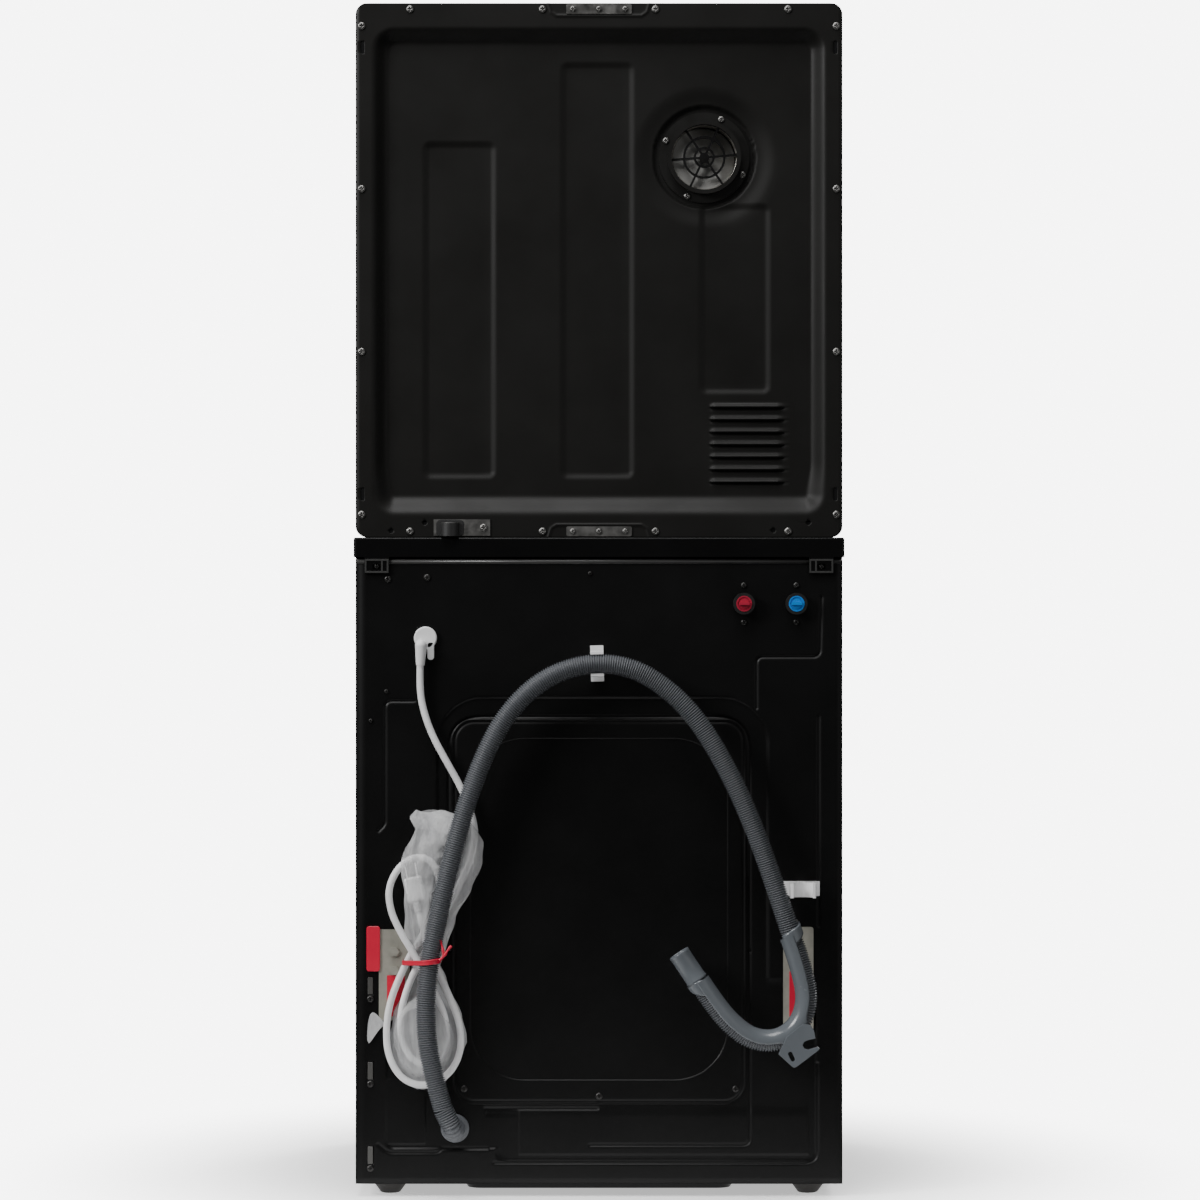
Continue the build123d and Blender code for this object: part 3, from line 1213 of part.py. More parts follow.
def heater():
    """The heater box on the bulkhead, with three heating rods across its open ends."""
    back = BULKHEAD_Y + SHEET
    x0, x1 = 60.0, 230.0
    low = DRYER_BOTTOM + 40
    high = low + 90
    case = box(x0, x1, back, DUCT_BACK - 4, low, high) - box(
        x0 - 1, x1 + 1, back + 2, DUCT_BACK - 6, low + 2, high - 2
    )
    for i in range(3):
        y = back + 18 + i * (DUCT_BACK - back - 36) / 2
        case += rod_z(5, low + 1, high - 1, (x0 + x1) / 2, y)
    return case


# Fasteners and rear fittings


def screw(x, y, z, radius):
    """A pan-head screw seen on a rear face at depth y."""
    head = rod_y(radius, y, y + SCREW_RISE, x, z)
    return fillet(head.edges().sort_by(Axis.Y)[-1], 1.4)


def dryer_screw_places():
    """The dryer's rear screws as (x, y, z, head radius)."""
    places = []
    low = DRYER_BOTTOM + RIM_SCREW_INSET
    high = DRYER_TOP - RIM_SCREW_INSET
    for x in RIM_SCREW_TOP_X:
        for side in (-1, 1):
            places += [(side * x, REAR, z, SCREW_RADIUS) for z in (low, high)]
    first = DRYER_BOTTOM + RIM_SCREW_SIDE_END
    step = (DRYER_TOP - RIM_SCREW_SIDE_END - first) / RIM_SCREW_SIDE_STEPS
    for i in range(RIM_SCREW_SIDE_STEPS + 1):
        for side in (-1, 1):
            places.append((side * (HALF_WIDTH - RIM_SCREW_INSET), REAR, first + i * step, SCREW_RADIUS))
    for z in (low, high):
        for side in (-1, 0, 1):
            places.append((side * STRAP_HALF * 0.8, REAR + STRAP_THICKNESS, z, SMALL_SCREW_RADIUS))
    places.append((CLAMP_X[0] + 8, REAR + STRAP_THICKNESS, DRYER_BOTTOM + CLAMP_RISE, SCREW_RADIUS))
    seat = REAR - DISH_DEPTH - EXHAUST_RECESS_DEPTH + EXHAUST_FLANGE
    for i in range(4):
        angle = radians(EXHAUST_SCREW_TURN + 90 * i)
        x = EXHAUST_X + EXHAUST_SCREW_CIRCLE * cos(angle)
        places.append((x, seat, EXHAUST_Z + EXHAUST_SCREW_CIRCLE * sin(angle), PANEL_SCREW_RADIUS))
    return places


def washer_screw_places():
    """The washer's rear screws as (x, y, z, head radius)."""
    drops = ((258, 27), (210, 25), (11, 20), (279, 200), (260, 164))
    places = [(x * SPREAD, REAR, WASHER_TOP - drop, PANEL_SCREW_RADIUS) for x, drop in drops]
    for z in SLOT_HEIGHTS:
        places.append((HALF_WIDTH - SLOT_INSET, REAR, z - SLOT_LENGTH * 0.7, PANEL_SCREW_RADIUS))
    for x in INLET_X:
        for side in (-1, 1):
            places.append((x, REAR, WASHER_TOP - INLET_DROP + side * INLET_SCREW_RISE, SMALL_SCREW_RADIUS))
    cover = REAR - RECESS_DEPTH + SHEET
    for x, z in ((COVER_X[0] + 15, COVER_Z[0] + 16), (COVER_X[1] - 13, COVER_Z[0] + 16), (0, COVER_Z[0] + 7)):
        places.append((x, cover, z, PANEL_SCREW_RADIUS))
    return places


def panel_screws():
    """Every screw head on the rear of both cabinets."""
    return Compound(children=[screw(*place) for place in dryer_screw_places() + washer_screw_places()])


def transit_brackets():
    """The two transit plates on the washer rear, each with two bolt heads."""
    pieces = []
    for x, width, low, high in TRANSIT:
        plate = box(x - width / 2, x + width / 2, REAR, REAR + TRANSIT_PLATE, low, high)
        plate = fillet(plate.edges().filter_by(Axis.Y), 3)
        for drop in TRANSIT_BOLT_DROPS:
            head = extrude(RegularPolygon(TRANSIT_BOLT_SIZE, 6), TRANSIT_PLATE, both=True)
            plate += Pos(x, REAR + 2 * TRANSIT_PLATE, high - drop) * Rot(90, 0, 0) * head
        pieces.append(plate)
    return Compound(children=pieces)


def hose_cradle(x, z, turn, width):
    """An open cradle for the hose, standing on the rear panel; turn 0 takes a level hose."""
    inner = HOSE_RADIUS + CRADLE_GAP
    wall = 3.0
    y = REAR + HOSE_OFFSET
    ring = Rot(0, 90, 0) * (Cylinder(inner + wall, width) - Cylinder(inner, width + 2))
    ring -= Pos(0, inner + wall, 0) * Box(width + 4, inner * 1.1 + wall * 2, 60)
    stem = Pos(0, -(HOSE_OFFSET + inner) / 2 - 0.5, 0) * Box(width, HOSE_OFFSET - inner - 1, 9)
    foot_plate = Pos(0, -HOSE_OFFSET + 1.25, 0) * Box(width, 2.5, 44)
    return Pos(x, y, z) * Rot(0, turn, 0) * (ring + stem + foot_plate)


def hose_clips():
    """The cradle that holds the hose at the top of its arch, and a spare one at the side."""
    spare = hose_cradle(SPARE_CLIP_X, SPARE_CLIP_Z, 90, SPARE_CLIP_WIDTH)
    return Compound(children=[hose_cradle(*hose_at_clip(), CLIP_WIDTH), spare])


def hose_at_clip():
    """Where the hose passes the upper cradle: X, height and turn."""
    path = hose_path()
    best = min(range(201), key=lambda i: abs((path @ (i / 200)).X))
    point = path @ (best / 200)
    along = path % (best / 200)
    return point.X, point.Z, degrees(atan2(-along.Z, along.X)) % 180


def cord_gland():
    """The cord gland: a flanged disc on the panel and a tapered strain relief pointing down."""
    z = WASHER_TOP - GLAND_DROP
    start = Vector(*cord_points()[0])
    along = (start - Vector(*cord_points()[1])).normalized()
    disc = rod_y(GLAND_RADIUS, REAR, REAR + 6, GLAND_X, z) + rod_y(
        GLAND_RADIUS - 4 - RUNNING_FIT, REAR - 8, REAR, GLAND_X, z
    )
    disc = fillet(disc.edges().filter_by(GeomType.CIRCLE).sort_by(Axis.Y)[-1], 2)
    relief = Plane(origin=start, z_dir=along) * Pos(0, 0, RELIEF_LENGTH / 2) * Cone(
        CORD_RADIUS + 1, CORD_RADIUS + 3, RELIEF_LENGTH
    )
    top = start + along * RELIEF_LENGTH
    knuckle = Pos(*top) * Sphere(CORD_RADIUS + 3)
    shape = disc + knuckle + relief
    return shape & box(-HALF_WIDTH, HALF_WIDTH, REAR - 20, REAR + 40, FOOT_HEIGHT, WASHER_TOP) - box(
        GLAND_X - 30, GLAND_X + 30, REAR - 20, REAR, z - 60, z - GLAND_RADIUS
    )


def cord_points():
    """The cord's route as points in space."""
    return [(x * SPREAD, REAR + y, z) for x, y, z in CORD_ROUTE]


def power_cord():
    """The mains cord, from the gland down behind the hose, through two gathered loops to the plug."""
    path = route(cord_points())
    solid = tube(path, CORD_RADIUS)
    report_tube("power cord", path, CORD_RADIUS, solid)
    print(f"power cord: least gap to itself {least_gap(path, CORD_RADIUS):.2f}")
    return solid


def power_plug():
    """The plug on the cord's end: a moulded body with a neck and two blades."""
    end = Vector(*cord_points()[-1])
    along = (end - Vector(*cord_points()[-2])).normalized()
    place = Plane(origin=end + along * 0.03, x_dir=(along.Z, 0, -along.X), z_dir=along)
    neck = Pos(0, 0, 6) * Cone(CORD_RADIUS + 1.2, CORD_RADIUS + 3, 12)
    body = Pos(0, 0, 12 + PLUG_LENGTH / 2) * Box(PLUG_WIDTH, PLUG_DEPTH, PLUG_LENGTH)
    body = fillet(body.edges(), 3)
    plug = neck + body
    for side in (-1, 1):
        plug += Pos(side * 6.3, 0, 12 + PLUG_LENGTH + 8) * Box(1.6, 6.4, 17)
    return place * plug


def hose_points():
    """The hose's route as points in space."""
    return [(x * SPREAD, REAR + HOSE_OFFSET, z) for x, z in HOSE_ROUTE]


def hose_path():
    """The hose's centre line from the boot to the cuff."""
    return route(hose_points())


def hose_sections(path):
    """Circles along the hose: four to each rib, all turned the same way."""
    sections = []
    pitch = 1.0 / HOSE_RIBS
    pattern = ((0.06, HOSE_ROOT), (0.40, HOSE_ROOT), (0.52, HOSE_RADIUS), (0.92, HOSE_RADIUS))
    stations = [(0.0, HOSE_ROOT)]
    stations += [((i + share) * pitch, radius) for i in range(HOSE_RIBS) for share, radius in pattern]
    stations.append((1.0, HOSE_ROOT))
    for share, radius in stations:
        distance = share * path.length
        place = Plane(
            origin=path.position_at(distance, position_mode=PositionMode.LENGTH),
            x_dir=(0, 1, 0),
            z_dir=path.tangent_at(distance, position_mode=PositionMode.LENGTH),
        )
        sections.append(Wire.make_circle(radius, place))
    return sections


def drain_hose():
    """The ribbed drain hose with its bore, the boot at the panel and the plain cuff at its free end."""
    path = hose_path()
    bore = tube(path, HOSE_BORE)
    report_tube("hose bore", path, HOSE_BORE, bore)
    ribbed = Solid.make_loft(hose_sections(path), ruled=True) - bore
    start = path @ 0
    away = path % 0
    boot_line = FilletPolyline(
        (OUTLET_X, REAR - 6, OUTLET_Z), (OUTLET_X, REAR + HOSE_OFFSET, OUTLET_Z), start,
        radius=BOOT_RADIUS + 0.6
    )
    boot = tube(boot_line, BOOT_RADIUS) - tube(boot_line, HOSE_BORE)
    end = Plane(origin=path @ 1, x_dir=(0, 1, 0), z_dir=path % 1)
    cuff = Pos(0, 0, CUFF_LENGTH / 2) * (
        Cylinder(CUFF_RADIUS, CUFF_LENGTH) - Cylinder(CUFF_BORE, CUFF_LENGTH + 2)
    )
    for share in (0.06, 0.94):
        cuff += Pos(0, 0, CUFF_LENGTH * share) * (Cylinder(CUFF_RADIUS + 1.2, 4) - Cylinder(CUFF_BORE, 5))
    return Compound(children=[ribbed, boot, end * cuff])


def hose_guide():
    """The U-shaped channel on the inner side of the hose's lower bend, with a hook plate at its front."""
    points = hose_points()[GUIDE_FIRST:]
    radii = round_corner_radii(hose_points())[GUIDE_FIRST:]
    path = FilletPolyline(*points, radius=radii)
    inner = HOSE_RADIUS + SEAT_GAP
    start = Plane(origin=path @ 0, x_dir=(0, 1, 0), z_dir=path % 0)
    section = Circle(inner + GUIDE_WALL) - Circle(inner)
    section &= Pos(0, -(inner + GUIDE_WALL) * 0.85) * Rectangle(80, (inner + GUIDE_WALL) * 2)
    channel = sweep(start * section, path=path)
    outline = make_face(Polyline(*[(x * SPREAD, z) for x, z in HOOK_OUTLINE], close=True))
    outline -= Pos(HOOK_HOLE[0] * SPREAD, HOOK_HOLE[1]) * Rot(0, 0, 65) * SlotOverall(*HOOK_HOLE_SIZE)
    plate = extrude(facing_rear(REAR + HOSE_OFFSET + inner + GUIDE_WALL) * outline, amount=GUIDE_WALL)
    return channel + plate


def bundle_tie():
    """A flat tie drawn round the hose and the four strands of cord beside it."""
    z = TIE_HEIGHT
    circles = strands(hose_path(), HOSE_RADIUS, z) + strands(route(cord_points()), CORD_RADIUS, z)
    inside = [(Pos(x, y) * Circle(r)).edge() for x, y, r in circles]
    outside = [(Pos(x, y) * Circle(r + TIE_THICKNESS)).edge() for x, y, r in circles]
    band = make_hull(outside) - make_hull(inside)
    return Pos(0, 0, z - TIE_WIDTH / 2) * extrude(band, amount=TIE_WIDTH)


def strands(path, radius, height):
    """Circles clear of a tube wherever it passes a height, on the side where the cord is gathered."""
    count = int(path.length / radius)
    points = [path @ (i / count) for i in range(count + 1)]
    near = [p for p in points if abs(p.Z - height) < radius + TIE_WIDTH / 2 and p.X > 0]
    return [(p.X, p.Y, radius + MOVING_GAP) for p in near]


def cord_bag():
    """The clear bag round the plug and the gathered cord: a thin pouch that stays clear of hose and cord."""
    film = pouch(0.0) - pouch(BAG_FILM)
    film -= tube(hose_path(), HOSE_RADIUS + MOVING_GAP)
    film -= tube(route(cord_points()), CORD_RADIUS + MOVING_GAP)
    return film.solids().sort_by(SortBy.VOLUME)[-1]


def pouch(inset):
    """The bag's form, drawn in by an inset on every side."""
    sections = []
    for share, width, depth in BAG_SECTIONS:
        height = BAG_LOW + inset + share * (BAG_HIGH - BAG_LOW - 2 * inset)
        ellipse = Ellipse(width / 2 - inset, depth / 2 - inset)
        sections.append(Pos(BAG_X, REAR + BAG_OFFSET, height) * ellipse)
    return loft(sections)


PIECES = {
    "washer_base": washer_base,
    "washer_side_panels": washer_side_panels,
    "washer_rear_panel": washer_rear_panel,
    "washer_access_cover": washer_access_cover,
    "washer_front_panel": washer_front_panel,
    "washer_worktop": worktop,
    "washer_control_panel": washer_control_panel,
    "panel_screws": panel_screws,
    "inlet_valves": inlet_valves,
    "hot_inlet_cap": lambda: inlet_cap(INLET_X[0]),
    "cold_inlet_cap": lambda: inlet_cap(INLET_X[1]),
    "washer_tub": washer_tub,
    "door_gasket": door_gasket,
    "counterweights": counterweights,
    "tub_suspension": tub_suspension,
    "drive_motors": drive_motors,
    "drive_belts": drive_belts,
    "drain_pump": drain_pump,
    "transit_brackets": transit_brackets,
    "hose_clips": hose_clips,
    "cord_gland": cord_gland,
    "door_hinges": door_hinges,
    "washer_door_frame": lambda: door_frame(WASHER_AXIS),
    "washer_door_glass": lambda: door_glass(WASHER_AXIS, WASHER_BOWL_DEPTH),
    "washer_drum": washer_drum,
    "drum_shaft": drum_shaft,
    "drum_pulley": drum_pulley,
    "washer_motor_pulley": washer_motor_pulley,
    "detergent_drawer": detergent_drawer,
    "washer_knob": lambda: knob(knob_place(WASHER_CONTROL_BOTTOM, WASHER_TOP)),
    "washer_start_button": lambda: push_button(
        WASHER_BUTTON_X, knob_place(WASHER_CONTROL_BOTTOM, WASHER_TOP)
    ),
    "front_left_foot": lambda: foot(*foot_places()[0]),
    "front_right_foot": lambda: foot(*foot_places()[1]),
    "rear_left_foot": lambda: foot(*foot_places()[2]),
    "rear_right_foot": lambda: foot(*foot_places()[3]),
    "filter_flap": filter_flap,
    "pump_filter": pump_filter,
    "dryer_base": dryer_base,
    "dryer_cabinet": dryer_cabinet,
    "dryer_rear_panel": dryer_rear_panel,
    "dryer_front_panel": dryer_front_panel,
    "dryer_control_panel": dryer_control_panel,
    "exhaust_outlet": exhaust_outlet,
    "rear_brackets": rear_brackets,
    "rear_bulkhead": rear_bulkhead,
    "heater": heater,
    "dryer_drum": dryer_drum,
    "lint_filter": lint_filter,
    "blower_wheel": blower_wheel,
    "dryer_motor_shaft": dryer_motor_shaft,
    "dryer_door_frame": lambda: door_frame(DRYER_AXIS),
    "dryer_door_glass": lambda: door_glass(DRYER_AXIS, DRYER_BOWL_DEPTH),
    "dryer_knob": lambda: knob(knob_place(DRYER_CONTROL_BOTTOM, DRYER_TOP)),
    "dryer_start_button": lambda: push_button(DRYER_BUTTON_X, knob_place(DRYER_CONTROL_BOTTOM, DRYER_TOP)),
    "power_cord": power_cord,
    "power_plug": power_plug,
    "cord_bag": cord_bag,
    "bundle_tie": bundle_tie,
    "drain_hose": drain_hose,
    "hose_guide": hose_guide,
}


def main():
    """Build every piece and write it to its own file."""
    os.makedirs("parts", exist_ok=True)
    for name, build in PIECES.items():
        export_step(build(), f"parts/{name}.step")


main()
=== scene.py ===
"""Looks of the washer dryer stack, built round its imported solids. Shapes are worked out in millimetres."""

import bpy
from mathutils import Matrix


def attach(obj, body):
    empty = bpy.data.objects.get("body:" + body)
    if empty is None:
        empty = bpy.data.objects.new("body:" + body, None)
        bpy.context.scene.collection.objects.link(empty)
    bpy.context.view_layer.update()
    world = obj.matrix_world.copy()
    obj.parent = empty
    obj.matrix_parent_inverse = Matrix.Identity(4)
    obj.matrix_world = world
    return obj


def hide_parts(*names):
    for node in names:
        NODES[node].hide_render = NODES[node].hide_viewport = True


bl_info = {
    "name": "Washer Dryer Stack",
    "version": (1, 0, 0),
    "blender": (4, 5, 0),
    "location": "3D View > Sidebar > Stack",
    "description": "Dresses a compact washer with a vented dryer on top: rear skins, hose, cord and finishes",
    "category": "Object",
}

import bmesh
import bpy
import numpy as np
from bpy.props import FloatProperty, FloatVectorProperty, IntProperty, PointerProperty
from bpy.types import NodeSocket, Operator, Panel, PropertyGroup
from mathutils import Vector

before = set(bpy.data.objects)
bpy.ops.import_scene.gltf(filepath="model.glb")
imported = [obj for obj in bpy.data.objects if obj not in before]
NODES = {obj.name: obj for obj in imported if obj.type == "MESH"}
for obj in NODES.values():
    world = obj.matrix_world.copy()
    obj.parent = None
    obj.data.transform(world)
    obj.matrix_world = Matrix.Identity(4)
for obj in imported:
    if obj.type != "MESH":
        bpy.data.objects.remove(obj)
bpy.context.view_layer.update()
CABINETS = "cabinets"
MM = 0.001

# Planes of the cabinets in millimetres, as the solids have them
REAR = 260.0
FRONT = -260.0
HALF_WIDTH = 297.5
WASHER_FLOOR = 16.0
WASHER_TOP = 782.0
DRYER_BOTTOM = 806.0
DRYER_TOP = 1459.0
WASHER_AXIS = 400.0
DRYER_AXIS = 1105.0
EXHAUST = (-129.0, 1272.0)
HOSE_LINE = REAR + 35.0
CONTROL_FACE = FRONT - 6.0
STRAP_SHEET = 1.5
TIP = 0.01  # radius that closes a turned profile

# Hose: its route in X and Z, (distance, radius) of the boot's collar, (radius, distance) of the cuff
HOSE_ROUTE = (
    (189, 111), (203, 158), (211, 212), (209, 275), (197, 338), (181, 408), (160, 487), (133, 556),
    (104, 602), (62, 638), (10, 654), (-42, 648), (-86, 620), (-120, 584), (-152, 532), (-180, 474),
    (-205, 408), (-227, 342), (-247, 284), (-255, 246), (-246, 214), (-220, 193), (-187, 194),
    (-160, 213), (-139, 238), (-119, 268),
)
BOOT_ROUTE = (
    (176, 254, 84), (176, 276, 84), (176.5, 291, 86), (181, HOSE_LINE, 95), (189, HOSE_LINE, 111),
)
BOOT_COLLAR = (
    (0, 12.4), (5, 12.4), (5.2, 16.6), (5.9, 17.4), (7.6, 17.4), (8.3, 16.6), (8.5, 12.2),
)
BOOT_RIBS_START = 9.0
BOOT_SWELL = 0.2
RIB_WAVE = np.array([0.0, 0.35, 1.0, 1.0, 0.35])
CUFF = (
    (12.0, -1), (13.5, -0.7), (13.8, 0.6), (13.7, 2.2), (13.1, 3.0), (13.1, 20), (13.2, 36.5),
    (13.5, 37.4), (13.5, 39.2), (13.1, 40), (11.6, 40), (11.2, 38.5), (11.2, 4), (TIP, 4),
)
GUIDE_START = (-233, 322)
GUIDE_HOOK = (-238, 205)
GUIDE_WALL = (12.9, 15.0)
GUIDE_FROM, GUIDE_TO = -75, 98
HOOK_REACH, HOOK_SPREAD = 60, 26.0
LIP_WALL = (12.7, 14.7)
LIP_TURN = (40, 205)
LIP_NARROWING = 0.45
HOOK_OUTLINE = (
    (-247, 217), (-256, 215), (-260, 209), (-262, 199), (-253, 197), (-248.5, 195), (-246.2, 191),
    (-248.5, 187), (-253, 185.6), (-264.5, 189), (-266.5, 187.5), (-266, 185), (-239, 164.5),
    (-236, 163.5), (-233.5, 165), (-217, 180), (-227, 201),
)
HOOK_HOLE = (-233.0, 177.0)
HOOK_HOLE_RADIUS, HOOK_HOLE_HALF = 2.6, 3.6
HOOK_LEAN = np.radians(-25)
HOOK_PLANE = HOSE_LINE + 13.9
HOOK_HALF, HOOK_BEVEL = 1.5, 0.5

# The cord's route in X, off the rear panel and Z
CORD_ROUTE = (
    (218, 10, 650), (219, 9, 622), (214, 8, 593), (203, 8, 563), (187, 8, 534), (171, 8, 506),
    (158, 8, 477), (150, 8, 446), (155, 8, 414), (169, 8, 385), (183, 8, 357), (197, 8, 330),
    (210, 8, 304), (224, 8, 279), (236, 8, 251), (243, 8, 220), (241, 8, 191), (229, 8, 169),
    (211, 8, 161), (194, 9, 171), (185, 11, 196), (188, 14, 224), (199, 17, 249), (213, 18, 275),
    (227, 18, 301), (242, 18, 325), (254, 18, 351), (257, 17, 378), (246, 13, 402), (228, 8, 416),
    (208, 8, 415), (196, 8, 398), (194, 8, 373), (203, 8, 346), (215, 8, 321), (230, 8, 297),
    (243, 8, 270), (255, 8, 240), (260, 8, 207), (258, 8, 175), (244, 8, 148), (221, 8, 136),
    (196, 8, 141), (176, 8, 159), (167, 9, 187), (171, 12, 218), (182, 16, 246), (194, 18, 273),
    (205, 18, 301), (214, 18, 326), (219, 18, 351),
)

# Bag: rows of height, least X, greatest X and depth off the rear panel, and the tie round the bundle
FILM_ROWS = np.array([
    (133, 206, 222, 2.6), (141, 190, 240, 3.0), (157, 175, 252, 3.2), (190, 162, 256, 3.2),
    (225, 169, 249, 3.2), (255, 183, 237, 3.3), (283, 196, 226, 3.4), (297, 191, 230, 10),
    (315, 185, 233, 26), (345, 175, 236, 31), (375, 156, 238, 34), (410, 144, 240, 35),
    (435, 142, 230, 33), (450, 148, 224, 29), (464, 162, 231, 20), (472, 190, 224, 9),
])
FILM_BACK = 1.9
FILM_LEAST = 1.7
FILM_FLAT = 3.5
HOSE_PRESS = 13.0
LOOP = (214.0, 197.0)
LOOP_HALF = (40.0, 53.0)
LOOP_RISE = 15.5
TIE_HEIGHT = 290.0
TIE_STRANDS = np.array([
    (206, HOSE_LINE, 12.9), (218, REAR + 8, 5.0), (221, REAR + 18, 5.0), (234, REAR + 8, 5.0),
    (201, REAR + 18, 5.0),
])
TIE_BAND = (
    (0.1, -3.2), (1.4, -2.6), (1.5, -1.8), (1.0, -1.0), (1.5, 0.0), (1.0, 1.0), (1.5, 1.8), (1.4, 2.6),
    (0.1, 3.2), (0.0, 0.0),
)
TIE_TAILS = ((24, 6), (14, -9))

# Red plates and small tabs: X from and to, Z from and to, depth from and to off the rear plane, and a corner
TRANSIT_PLATES = (
    (237, 259, 221, 271, 1.5, 2.0, 0.8), (-258, -232.5, 211, 276, 1.5, 2.0, 0.8),
    (267.5, 284, 276, 331, 0.3, 4.0, 3.5),
)
GLAND_TAB = (201.5, 209.5, 656.5, 678, 0.0, 6.0, 3.5)
HOOK_TAB = (-243.5, -237.5, 317, 339, 0.0, 3.0, 1.5)
EDGE_TAB = (276.3, 282.7, -10.6, 10.6, -4.0, 0.5, 0.8)

# Dryer rear: boxes are X from and to, Z from and to and a corner; rings are depth, radius and slope; the
# louvres' mouth is a share of their height
DISH = (-278, 278, 832, 1430, 28)
DISH_SLOPE = 20.0
DISH_FOOT, DISH_FOOT_SPREAD, DISH_FOOT_SLOPE = 900.0, 50.0, 7.0
RIBS = ((124.5, 217.5, 876.0, 1293.0), (-45.0, 49.0, 876.0, 1390.0), (-212.0, -121.0, 980.0, 1217.0))
RIB_CORNER = 12
RIB_SLOPE = 10.0
EXHAUST_RINGS = ((3.6, 88, 26.0), (4.4, 63.5, 2.2), (34.0, 44, 3.5))
WELL_DEPTH, WELL_RADIUS, WELL_SLOPE = 1.8, 86, 26.0
WELL_SHIFT = (9, 6)
WELL_FADE = 40.0
LOUVRES = [DRYER_BOTTOM + 68.0 + 15.3 * i for i in range(7)]
LOUVRE_MIDDLE = -181.5
LOUVRE_HALF = 46.0
LOUVRE_END = 5.0
LOUVRE_HEIGHT = 8.0
LOUVRE_OUT = 4.2
LOUVRE_IN = 2.6
LOUVRE_MOUTH = -0.3
PUNCHED_SLOPE = 0.8
SLOT_DEPTH = 6.0
RIM_SLOT_HALF = (2.2, 8)
RIM_SLOT_CORNER = 1.5
RIM_SLOTS = ((289.0, 1405.0), (-289.0, 1405.0), (289.0, 859.0), (-289.0, 859.0))
RIM_HOLES = ((254.0, 814.0), (213.0, 824.0), (-213.0, 814.5), (-256.0, 824.0))
HOLE_DEPTH = 5.0
HOLE_RADIUS = 3.0
RIM_INSET = 7.4
SURROUND_HEIGHT, SURROUND_WIDTH = 1.1, 1.6
SURROUNDS = (
    ((62, 806), (58.5, 817), (52, 821.5), (-52, 821.5), (-58.5, 817), (-62, 806)),
    ((62, 1459), (58.5, 1448), (52, 1443.5), (-52, 1443.5), (-58.5, 1448), (-62, 1459)),
)
DRYER_CORNER, DRYER_GRID = 14.0, 7.0
DRYER_X_MARKS = ((-282, -250, 1.8), (250, 282, 1.8), (-220, -62, 2.2), (50, 66, 1.2), (-66, -50, 1.2))
DRYER_Z_MARKS = (
    (826, 862, 1.8), (1404, 1434, 1.8), (1182, 1362, 2.2), (806, 826, 1.2), (1439, 1459, 1.2),
)
CLAMP_MIDDLE = 182.0
CLAMP_HUMP = 11.4
CLAMP_HALF = 17
CLAMP_FOOT, CLAMP_TOP = 807.6, 827.5

# Washer rear: boxes as above; steps are a depth, a slope and a box; pad edges are 0 for X or 1 for Z, a place
# and a slope; pressed lines are a corner radius and points in X and Z; marks are from, to and a grid step
RECESS = ((-208, 200, 150, 612, 58), (-267, 262, 57, 267, 12), (-267, 128, 42, 120, 12))
RECESS_DEPTH, RECESS_SLOPE = 2.6, 4.0
PAD_HEIGHT = 1.3
PAD_EDGES = ((0, -257, 2.5), (0, 99, -2.5), (1, 50, 3.0), (1, 112, -14.0))
TOP_LIP, TOP_LIP_DEPTH, TOP_LIP_SLOPE = 776.5, 5.0, 5.5
BEAD_WIDTH = 1.7
EDGE_SLOTS = (258.0, 154.0, 51.0)
SLOT_HALF = 11.5
BOOT_PAD = (-1.0, 2.5, 211, 261, 63, 145, 4)
SILL_DENT = (1.2, 2.0, 104, 139, 98, 107, 2)
WASHER_STEPS = (
    BOOT_PAD, SILL_DENT,
    *((SLOT_DEPTH, PUNCHED_SLOPE, 275.5, 283.5, z - SLOT_HALF, z + SLOT_HALF, 1.0) for z in EDGE_SLOTS),
)
LUG_MIDDLE, LUG_HALF = 271.5, 14.5
LUG_EDGES = (762.5, 779.5)
LUG_WINDOWS = ((12.4, -5.4), (-12.4, -7.6))
LUG_WINDOW_EDGES = (764.8, 777.2)
LIP_RADIUS, LIP_HEIGHT = 3.0, 776.2
BEADS = (
    (9, ((-272, 733), (-270, 660), (-192.4, 660), (-192.4, 597))),
    (6, ((-268.5, 587), (-268.5, 331))),
    (16, ((-267, 163), (-267, 41.5), (128, 41.5))),
    (9, ((226, 606), (261.5, 606), (261.5, 455), (269.5, 447))),
    (8, ((270, 64), (258, 54), (198, 54), (192, 58.5), (136, 58.5))),
    (9, ((11, 63), (-184, 63), (-184, 300))),
    (42, ((-184, 300), (-184, 587), (184, 587), (184, 300))),
    (4, ((2, 107.5), (139, 107.5))),
)
WASHER_CORNER, WASHER_GRID = 0.5, 8.0
WASHER_X_MARKS = ((-212, -160, 2.0), (150, 204, 2.0), (95, 101, 1.0), (207, 215, 1.0), (274, 285, 0.7))
WASHER_Z_MARKS = ((560, 616, 2.0), (60, 112, 2.0), (774, 782, 0.8))
COVER_X, COVER_Z = (-180, 180), (113, 584)
COVER_CORNER, COVER_GRID, COVER_SHEET = 28.0, 4.0, 1.4
COVER_X_MARKS = ((-180, -130, 1.2), (130, 180, 1.2))
COVER_Z_MARKS = ((113, 170, 1.2), (530, 584, 1.2))
COVER_BACK = 1.4
COVER_STEPS = ((6.0, 4.5, -157.5, 157.5, 142, 561, 66), (0.8, 30.0, -136, 134, 162, 541, 44))
COVER_GROOVE = (-176.4, 176.4, 116.5, 580.5, 24)
GROOVE_DEPTH, GROOVE_WIDTH = 1.3, 1.4

